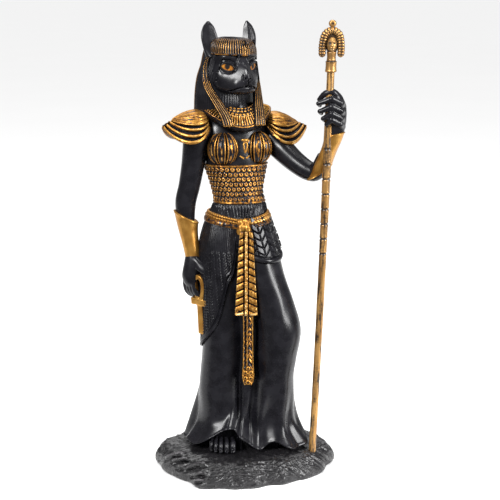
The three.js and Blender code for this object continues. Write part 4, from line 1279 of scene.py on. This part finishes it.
def strands(x, z, gold_share, seed, width):
    """Rounded strands over a coordinate that grows by 1 per strand; gives their height and gold."""
    number = np.floor(x)
    run = noise(vec(number * 3.7, z, seed), (1, 14, 1))
    line = bump(phase(x) - 0.5, width)
    gold = np.clip(line * (0.4 + 0.85 * (hashed(number + seed) < gold_share) + 0.4 * run), 0, 1.15)
    return rounded(phase(x)), gold


def wig():
    angle = circle(462)
    z = np.concatenate([[208.0, 208.05], np.linspace(208.3, 280.2, 40)])[:, None]
    forward, side, a, b = WIG(z)
    shrink = np.where(z < 208.1, 0.93, 1.0)
    points = head(side + a * shrink * cosd(angle), forward + b * shrink * sind(angle), z)
    wander = 0.25 * np.sin(z / 11 + angle / 40)
    ridge, gold = strands(angle * 66 / 360 + wander, z, 0.6, 0.0, 0.2)
    fade = ease(z, 207, 210) * (1 - ease(z, 277, 281))
    # Gold lies on the sides and the back; the front, behind the locks and the chin, stays black
    outer = lerp(0.12, 1.0, ease(np.abs(turn(angle, 90)), 88, 108))
    paint = gold * outer * (1 - ease(z, 268, 276))
    surface("wig_back", raised(points, lerp(0.1, 1, outer) * fade * (ridge - 0.6)), RESIN, gold=paint)


def fringe():
    """The wig's crown and its fringe, with a banded edge over the forehead."""
    angle = circle(480)
    table = keyed([
        [0, 269.3, 11.8, 10.8], [1, 268.9, 13.4, 12.4], [2, 269.4, 14.8, 13.8], [3, 271.2, 14.9, 13.8],
        [4, 274.2, 14.5, 13.5], [5, 277.8, 12.4, 11.6], [6, 279.8, 7, 6.4], [6.6, 280.4, 0.6, 0.6],
    ])
    t = np.linspace(0, 6.6, 34)[:, None]
    z, a, b = table(t)
    u = a * cosd(angle)
    points = head(u, 2 + b * sind(angle), z - 0.05 * u)
    ridge, gold = strands(angle * 60 / 360, z, 1.1, 5.0, 0.105)
    rim_band = bump(z - 269.5, 0.5) * (t < 3) * (t > 1)
    fade = ease(a, 1.5, 7) * (t > 1)
    height = 0.95 * (ridge - 0.65) * fade * (1 - 0.8 * rim_band) + 0.3 * rim_band
    bronze = rim_band * (0.5 + 0.45 * noise(points, (3, 3, 1))) * ease(turn(angle, 62), -14, 8)
    paint = np.maximum(gold * (1 - rim_band) * ease(z, 281.6, 277), bronze)
    surface("wig_fringe", raised(points, height), RESIN, gold=paint)


def lappet(side):
    """A front lock of the wig, with five strands, from the temple to the chest."""
    out = 1 if side < 0 else 0
    rows = [
        (side * (15.2 + 1.4 * out), 0, 268, 1.2), (side * (15.8 + 3.2 * out), 0.4, 261, 1.9),
        (side * (15 + 4.4 * out), 3.4, 251, 2.5), (side * (12.8 + 2.9 * out), 8.8, 241, 3.2),
        (side * (11.2 + 0.6 * out), 14.2, 232, 3.6), (side * 10.4, 17, 225.6, 3.7),
    ]
    t = np.linspace(0, 1, 100)[:, None]
    u, v, z, half = along_rows(rows)(t)
    count, back = 5, np.linspace(1, -1, 8)
    across = np.linspace(-1, 1, 50)
    # Just under the count, so that the last column lies in the last strand
    place = (across + 1) / 2 * count * 0.9999
    number, within = np.floor(place), phase(place)
    ridge = rounded(within)
    crown = np.sqrt(np.clip(1 - (0.93 * across) ** 2, 0, 1))
    end = np.sqrt(np.clip((1 - t) / 0.03, 0, 1))
    proud = (crown + 0.85 * ridge * lerp(0.6, 1, t)) * lerp(0.25, 1, end)
    lift = np.concatenate([proud - 0.1, np.full((len(t), len(back)), -1.4)], axis=1)
    tilt = lerp(0.75, 0.1, ease(t, 0.1, 0.7))
    wide = np.append(across, back) * half * lerp(0.8, 1.0, end)
    pu = u + side * wide * np.cos(tilt) + side * lift * np.sin(tilt)
    pv = v - wide * np.sin(tilt) + lift * np.cos(tilt)
    points = turned(lerp(-8.5, -6.0, t), lerp(1.0, 3.0, t), lerp(HEAD_YAW, CHEST_YAW, t))(pu, pv, z)
    run = noise(vec(number * 3.3 + side, z, 0), (1, 11, 1))
    # Near the temple only every second strand is gold
    often = np.maximum(number % 2, ease(t, 0.22, 0.42))
    paint = bump(within - 0.5, 0.125) * (1.15 + 0.35 * run) * lerp(0.2, 1, often)
    paint = np.maximum(paint, 0.9 * ease(t, 0.965, 0.98) * ease(ridge, 0.3, 0.7))
    gold = np.concatenate([paint, np.zeros((len(t), len(back)))], axis=1)
    surface(sided("lappet", side), points, RESIN, gold=gold)


# Arms, bracers and hands

LOWERED_ARM = [
    (-29.4, -4.6, 230, 5), (-30.4, -5.6, 224, 8), (-31, -5.6, 213, 8.2), (-33, -4.8, 200, 7.3),
    (-35.3, -4, 187, 6.9), (-37.9, -3.4, 175, 6.6), (-37.2, -3.8, 160, 5),
]
RAISED_ARM = [
    (13.5, 11.5, 225, 5), (17, 10, 217, 8.6), (23.5, 5.4, 209.4, 7.8), (31.6, -1.5, 202.2, 6.9),
    (40, -7.6, 197, 6.2), (45.4, -11.4, 197.4, 5.4), (49.2, -14.8, 207, 4),
]
LOWERED_BRACER = [
    (-33, -5.6, 139.8, 5, 0), (-34.4, -5, 148, 5.4, 0.1), (-36.4, -4.2, 158, 6.4, 0.25),
    (-37.6, -3.6, 167.4, 7.8, 0.5),
]
RAISED_BRACER = [
    (46.8, -11.8, 196.2, 7.6, -0.62), (50.4, -15, 206, 6.9, -0.56), (53.6, -17.4, 214, 6.2, -0.37),
    (55.8, -19, 221.5, 6.1, -0.19),
]


def limb(name, rows, side=(0, 1, 0)):
    x, y, z, r = along_rows(rows)(np.linspace(0, 1, 48))
    centre = vec(x, y, z)
    along = unit(np.gradient(centre, axis=0))
    across = unit(np.cross(along, np.asarray(side, float)))
    deep = np.cross(across, along)
    angle = circle(45)[:, None]
    ring = across[:, None] * cosd(angle) + deep[:, None] * sind(angle)
    points = centre[:, None] + r[:, None, None] * ring
    surface(name, points, RESIN, gold=0.0)


def bracer(name, rows):
    """A flared gold cuff with a rolled lip at both ends."""
    stops = np.concatenate([np.zeros(5), np.linspace(0, 1, 44), np.ones(5)])[:, None]
    inset = np.concatenate([[2.4, 1.2, 0.5, 0.15, 0.0], np.zeros(44), [0.0, 0.15, 0.5, 1.2, 2.4]])[:, None]
    x, y, z, r, lean = along_rows(rows)(stops)
    angle = circle(60)
    along = np.minimum(stops, 1 - stops)
    lip = 0.42 * bump(along - 0.02, 0.022)
    r = r - inset + lip * (inset == 0)
    lower = np.where(stops < 0.5, -1, 1) * 0.25 * (inset > 0) * (inset < 1)
    across = r * cosd(angle)
    points = vec(x + across, y + r * 0.92 * sind(angle), z - lean * across + lower)
    surface(name, points, SATIN, "gold_paint", worn=0.35 + 0.65 * bump(along, 0.05))


def arms():
    limb("arm_lowered", LOWERED_ARM)
    limb("arm_raised", RAISED_ARM, (-0.5, 0.8, 0.3))
    bracer("bracer_lowered", LOWERED_BRACER)
    bracer("bracer_raised", RAISED_BRACER)


def staff_at(z):
    t = (np.asarray(z, float) - STAFF_FOOT[2]) / (STAFF_TOP[2] - STAFF_FOOT[2])
    bow = 4 * STAFF_BOW * t * (1 - t)
    return STAFF_FOOT + (STAFF_TOP - STAFF_FOOT) * t[..., None] + vec(bow, 0, 0)


def fist():
    """A hand closed round the staff: a broad palm behind, four bent fingers in front, the thumb on top."""
    palm = [
        (54, -18.4, 216, 3.9), (55.6, -18.4, 223, 5.0), (56.2, -18.6, 231, 5.7), (56, -19, 238, 5.6),
        (55, -20, 243.2, 4.0),
    ]
    thumb = [
        (57.4, -20, 243.4, 2.7), (54.2, -23.2, 247.2, 2.1), (49.6, -23, 246.6, 1.8),
        (45.6, -20.8, 242.8, 1.2),
    ]
    fingers = []
    for z, tip, r in [(241.6, 43.4, 2.2), (236.8, 44.4, 2.3), (232.4, 46.4, 2.2), (228.8, 48.4, 1.9)]:
        y = staff_at(z)[1]
        fingers.append([
            (60.4, -19.4, z - 3.0, r), (58.6, y - 3.4, z - 0.8, r), (53.2, y - 5.2, z + 2.0, r),
            (tip + 1.6, y - 4.0, z - 0.8, r * 0.62), (tip + 2.6, y - 0.4, z - 2.2, r * 0.6),
        ])

    def field(p):
        whole = blend([digit(p, palm, 0.8), digit(p, thumb)], 0.5)
        for rows in fingers:
            whole = blend([whole, chain(p, rows, 0.16)], 0.18)
        return whole

    cast("hand_raised", field, (41, -31, 211), (65, -11, 252), 0.5, RESIN, gold=0.0)


def open_hand():
    """A hanging hand with curled fingers, whose thumb points forward over the ankh's loop."""
    back = [
        (-33.4, -5.4, 144, 3.8), (-33.8, -5.8, 135, 4.7), (-34.6, -6, 129, 4.8), (-34.6, -6.4, 125.6, 3.6),
    ]
    thumb = [
        (-31.6, -8.4, 139.6, 2.6), (-28.8, -9.8, 136.4, 2.6), (-26.2, -11, 133.0, 2.2),
        (-24.6, -11.6, 130.0, 1.4),
    ]
    fingers = []
    for i in range(4):
        x, y = -38.2 + i * 1.9, -3.0 - i * 2.0
        fingers.append([
            (x + 0.4, y, 128.5, 1.9), (x + 0.2, y - 0.4, 123.0, 1.9), (x + 1.4, y - 0.6, 118.6, 1.75),
            (x + 4.4, y - 0.2, 116.4, 1.6), (x + 6.6, y, 118.8, 1.2),
        ])

    def field(p):
        whole = digit(p, back, 0.8)
        for rows in fingers:
            whole = blend([whole, digit(p, rows)], 0.14)
        whole = blend([whole, egg(p, (-30.5, -3.4, 125.5), (5.2, 2.6, 8.5))], 0.5)
        whole = carve(whole, rod(p, (-28.0, -14, 128.4), (-30, -9, 122), 2.6, 2.2), 0.4)
        tip = lens(p, (-28.6, -11.5, 136.0), (-0.25, -0.89, 0.38), (0.75, -0.2, -0.62), (6.4, 3.0, 1.5))
        return blend([whole, digit(p, thumb), tip], 0.35)

    cast("hand_lowered", field, (-44, -17, 111), (-21, 3, 149), 0.5, RESIN, gold=0.0)


def box(x, y, z, half, edge=0.5):
    """Distance to a block with softened edges."""
    q = vec(*(np.abs(a) - b + edge for a, b in zip((x, y, z), half)))
    return np.linalg.norm(np.maximum(q, 0), axis=-1) + np.minimum(q.max(axis=-1), 0) - edge


def ankh():
    """A looped cross of thick satin gold bars with softened edges."""
    middle = np.array([-28.6, -10.4, 112.6])
    thick, loop_wide, loop_tall, bar, stem, facing = 3.6, 4.0, 8.6, 6.2, 21.0, 32
    a = np.radians(np.linspace(-75, 255, 60))
    loop_x = loop_wide * np.cos(a) * (0.75 + 0.25 * np.sin(a))
    loop = np.stack([loop_x, loop_tall + loop_tall * 0.92 * np.sin(a)], -1)

    def field(p):
        d = p - middle
        x, y = spun(d[..., 0] + 0.06 * d[..., 2], d[..., 1], -facing)
        z = d[..., 2] + 0.1 * x
        hoop = box(from_line(x, z, loop), y, 0, (1.35, thick * 0.42, 9))
        flare = 1.75 + 0.6 * np.abs(x) / bar
        cross = box(x, y, z * 1.75 / flare, (bar, thick * 0.5, 1.75))
        width = lerp(2.0, 2.4, np.clip(-z / stem, 0, 1))
        leg = box(x * 2 / width, y, z + stem / 2 - 1, (2, thick * 0.42, stem / 2 + 1))
        return blend([hoop, cross, leg], 0.25)

    cast("ankh", field, (-38, -18, 89), (-20, -3, 134), 0.42, SATIN, "gold_paint", worn=0.5)


def foot():
    """A bare foot with five separate toes and their nails."""
    toes = [
        (-21.6, -24.8, 1.0), (-18.8, -26.6, 1.05), (-15.5, -27.6, 1.15), (-11.8, -27.8, 1.25),
        (-7.8, -27, 1.5),
    ]

    def field(p):
        whole = egg(p, (-15, -9, GROUND + 3), (8.4, 9.6, 6.4))
        for x, y, r in toes:
            toe = digit(p, [
                (lerp(-15, x, 0.7), -11, GROUND + 8, r * 1.15), (x, y + 5.6, GROUND + 6.4, r * 0.9),
                (x, y + 1.7, GROUND + 5.0, r * 1.05), (x, y, GROUND + 1.2, r),
            ])
            nail = egg(p, (x, y - 0.9, GROUND + 2.5), (r * 0.62, 0.9, 0.95))
            whole = blend([whole, carve(toe, np.abs(nail) - 0.09, 0.06)], 0.07)
        return whole

    cast("foot", field, (-26, -31, GROUND - 5), (-4, 1, GROUND + 11), 0.44, RESIN, gold=0.0)


# Staff

SHAFT = keyed([[4, 2.3], [120, 2.35], [190, 2.55], [222, 2.65], [250, 2.4], [262, 2.3]])
RING_FIRST, RING_PITCH, RING_COUNT = 146.0, 9.5, 8
OF_STAFF = (STAFF, "staff_gold", "staff")


def round_staff(z, r, angle):
    return staff_at(z[:, 0])[:, None] + vec(r * cosd(angle), r * sind(angle), 0)


def shaft():
    z = np.concatenate([[5.0], np.linspace(8, 262, 420)])[:, None]
    angle = circle(24)
    radius = SHAFT(z)[0]
    number = np.clip(np.round((z - RING_FIRST) / RING_PITCH), 0, RING_COUNT - 1)
    off = np.abs(z - RING_FIRST - number * RING_PITCH)
    worn = noise(vec(cosd(angle) * 6, sind(angle) * 6, z), (2.2, 2.2, 7))
    r = radius - 0.5 * bump(off, 0.42) + 0.16 * bump(off - 1.0, 0.4) + 0.09 * worn
    r[0] = radius[0] - 0.8
    paint = (0.63 + 0.48 * worn) * (1 - 0.95 * bump(off, 0.6))
    surface("staff_shaft", round_staff(z, r, angle), *OF_STAFF, gold=paint)


def finial():
    """A head in a ribbed headcloth on a stepped socket, with a knob on top. The face is a plain one."""
    z = np.array([259.5, 259.6, 259.9, 260.4, 261.0, 263, 265.4, 266.0, 266.3, 266.4, 266.9, 267.2, 269, 272])
    r = np.array([2.0, 3.0, 3.45, 3.6, 3.45, 3.3, 3.35, 3.55, 3.3, 2.8, 3.0, 2.75, 2.7, 3.0])
    fine = np.linspace(0, len(z) - 1, 53)
    z, r = (np.interp(fine, np.arange(len(row)), row)[:, None] for row in (z, r))
    gold = 0.68 - 0.6 * bump(z - 266.4, 0.35)
    surface("finial_socket", round_staff(z, r, circle(36)), *OF_STAFF, gold=gold)
    headcloth()
    finial_head()
    bead("finial_knob", staff_at(289.0), (2.4, 2.2, 2.3), 0.8, *OF_STAFF)


def headcloth():
    """An arch of ribs round the head, parted by dark grooves, in two rows at the sides."""
    table = keyed([
        [0, -5.6, 268.6], [1, -5.7, 276], [2, -4.3, 282.4], [3, 0, 285], [4, 4.3, 282.4], [5, 5.7, 276],
        [6, 5.6, 268.6],
    ])
    t = np.linspace(0, 6, 276)
    x, height = table(t)
    length = np.append(0, np.cumsum(np.hypot(np.diff(x), np.diff(height))))
    ribs = 23
    rib = rounded(phase(length / length[-1] * ribs)[:, None]) ** 0.7
    angle = circle(30)
    out_x, out_z = -np.gradient(height, length)[:, None], np.gradient(x, length)[:, None]
    across = cosd(angle)
    parted = bump(across - 0.05, 0.16) * ease(np.abs(t - 3), 0.9, 1.6)[:, None]
    ends = np.sqrt(np.clip(np.minimum(length, length[-1] - length) / 1.6, 0.02, 1))[:, None]
    wide = 2.15 * ends * (1 + 0.3 * (rib - 0.75))
    deep = 1.75 * ends * (1 + 0.42 * (rib - 0.75) - 0.22 * parted)
    centre = (staff_at(height) + vec(x, -0.1, 0))[:, None]
    points = centre + vec(out_x * wide * across, deep * sind(angle), out_z * wide * across)
    paint = 0.95 * ease(rib, 0.7, 0.96) * (1 - 0.9 * parted)
    surface("finial_headcloth", points, *OF_STAFF, gold=paint)


def finial_head():
    middle = staff_at(276.4)

    def field(p):
        q = p - middle
        skull = egg(q, (0, 1.0, 1.2), (4.6, 2.2, 6.4))
        face = egg(q, (0, -1.1, 0), (3.1, 2.9, 4.7))
        whole = blend([skull, face], 0.5)
        brow, chin = egg(q, (0, -3.6, 1.7), (2.2, 0.7, 0.5)), egg(q, (0, -2.9, -3.3), (1.1, 1.0, 0.9))
        whole = blend([whole, brow, chin], 0.3)
        whole = blend([whole, rod(q, (0, -3.7, 1.5), (0, -4.5, -0.7), 0.35, 0.55)], 0.25)
        whole = blend([whole, rod(q, (-0.8, -3.85, -1.9), (0.8, -3.85, -1.9), 0.26, 0.26)], 0.12)
        for side in (-1, 1):
            whole = carve(whole, egg(q, (side * 1.35, -4.0, 0.8), (0.85, 0.7, 0.45)), 0.15)
            whole = blend([whole, egg(q, (side * 1.35, -3.25, 0.78), (0.62, 0.5, 0.32))], 0.1)
        neck = rod(q, (0, 0.4, -9), (0, 0, -3), 2.6, 2.2)
        return blend([whole, neck], 0.4)

    low, high = middle - np.array([6, 6, 8.5]), middle + np.array([6, 5, 9])
    points, faces = nets(field, low, high, 0.3)
    q = points - middle
    facing = q[:, 1] < -1.2
    beside = 1 - ease(np.hypot(q[:, 0] / 3.0, q[:, 2] / 4.6), 0.86, 1.1) * (q[:, 2] > -5)
    paint = (0.72 + 0.3 * noise(points, 1.6)) * np.where(facing, 1.0, 0.4) * beside
    paint = paint - 0.6 * bump(np.hypot(np.abs(q[:, 0]) - 1.35, q[:, 2] - 0.8), 0.55) * facing
    put("finial_head", points, faces, *OF_STAFF, gold=np.clip(paint, 0, 1))


for make in (rocky_base, skirt, overskirt, belt, knot, pendant, strap, torso, waistband, corset):
    make()
for side in (-1, 1):
    cup(side)
ornament()
collar()
for side in (-1, 1):
    shoulder_guard(side)
cat_head()
for side in (-1, 1):
    eyeball(side)
for side in (-1, 1):
    ear(side)
wig()
fringe()
for side in (-1, 1):
    lappet(side)
for make in (arms, fist, open_hand, ankh, foot, shaft, finial):
    make()
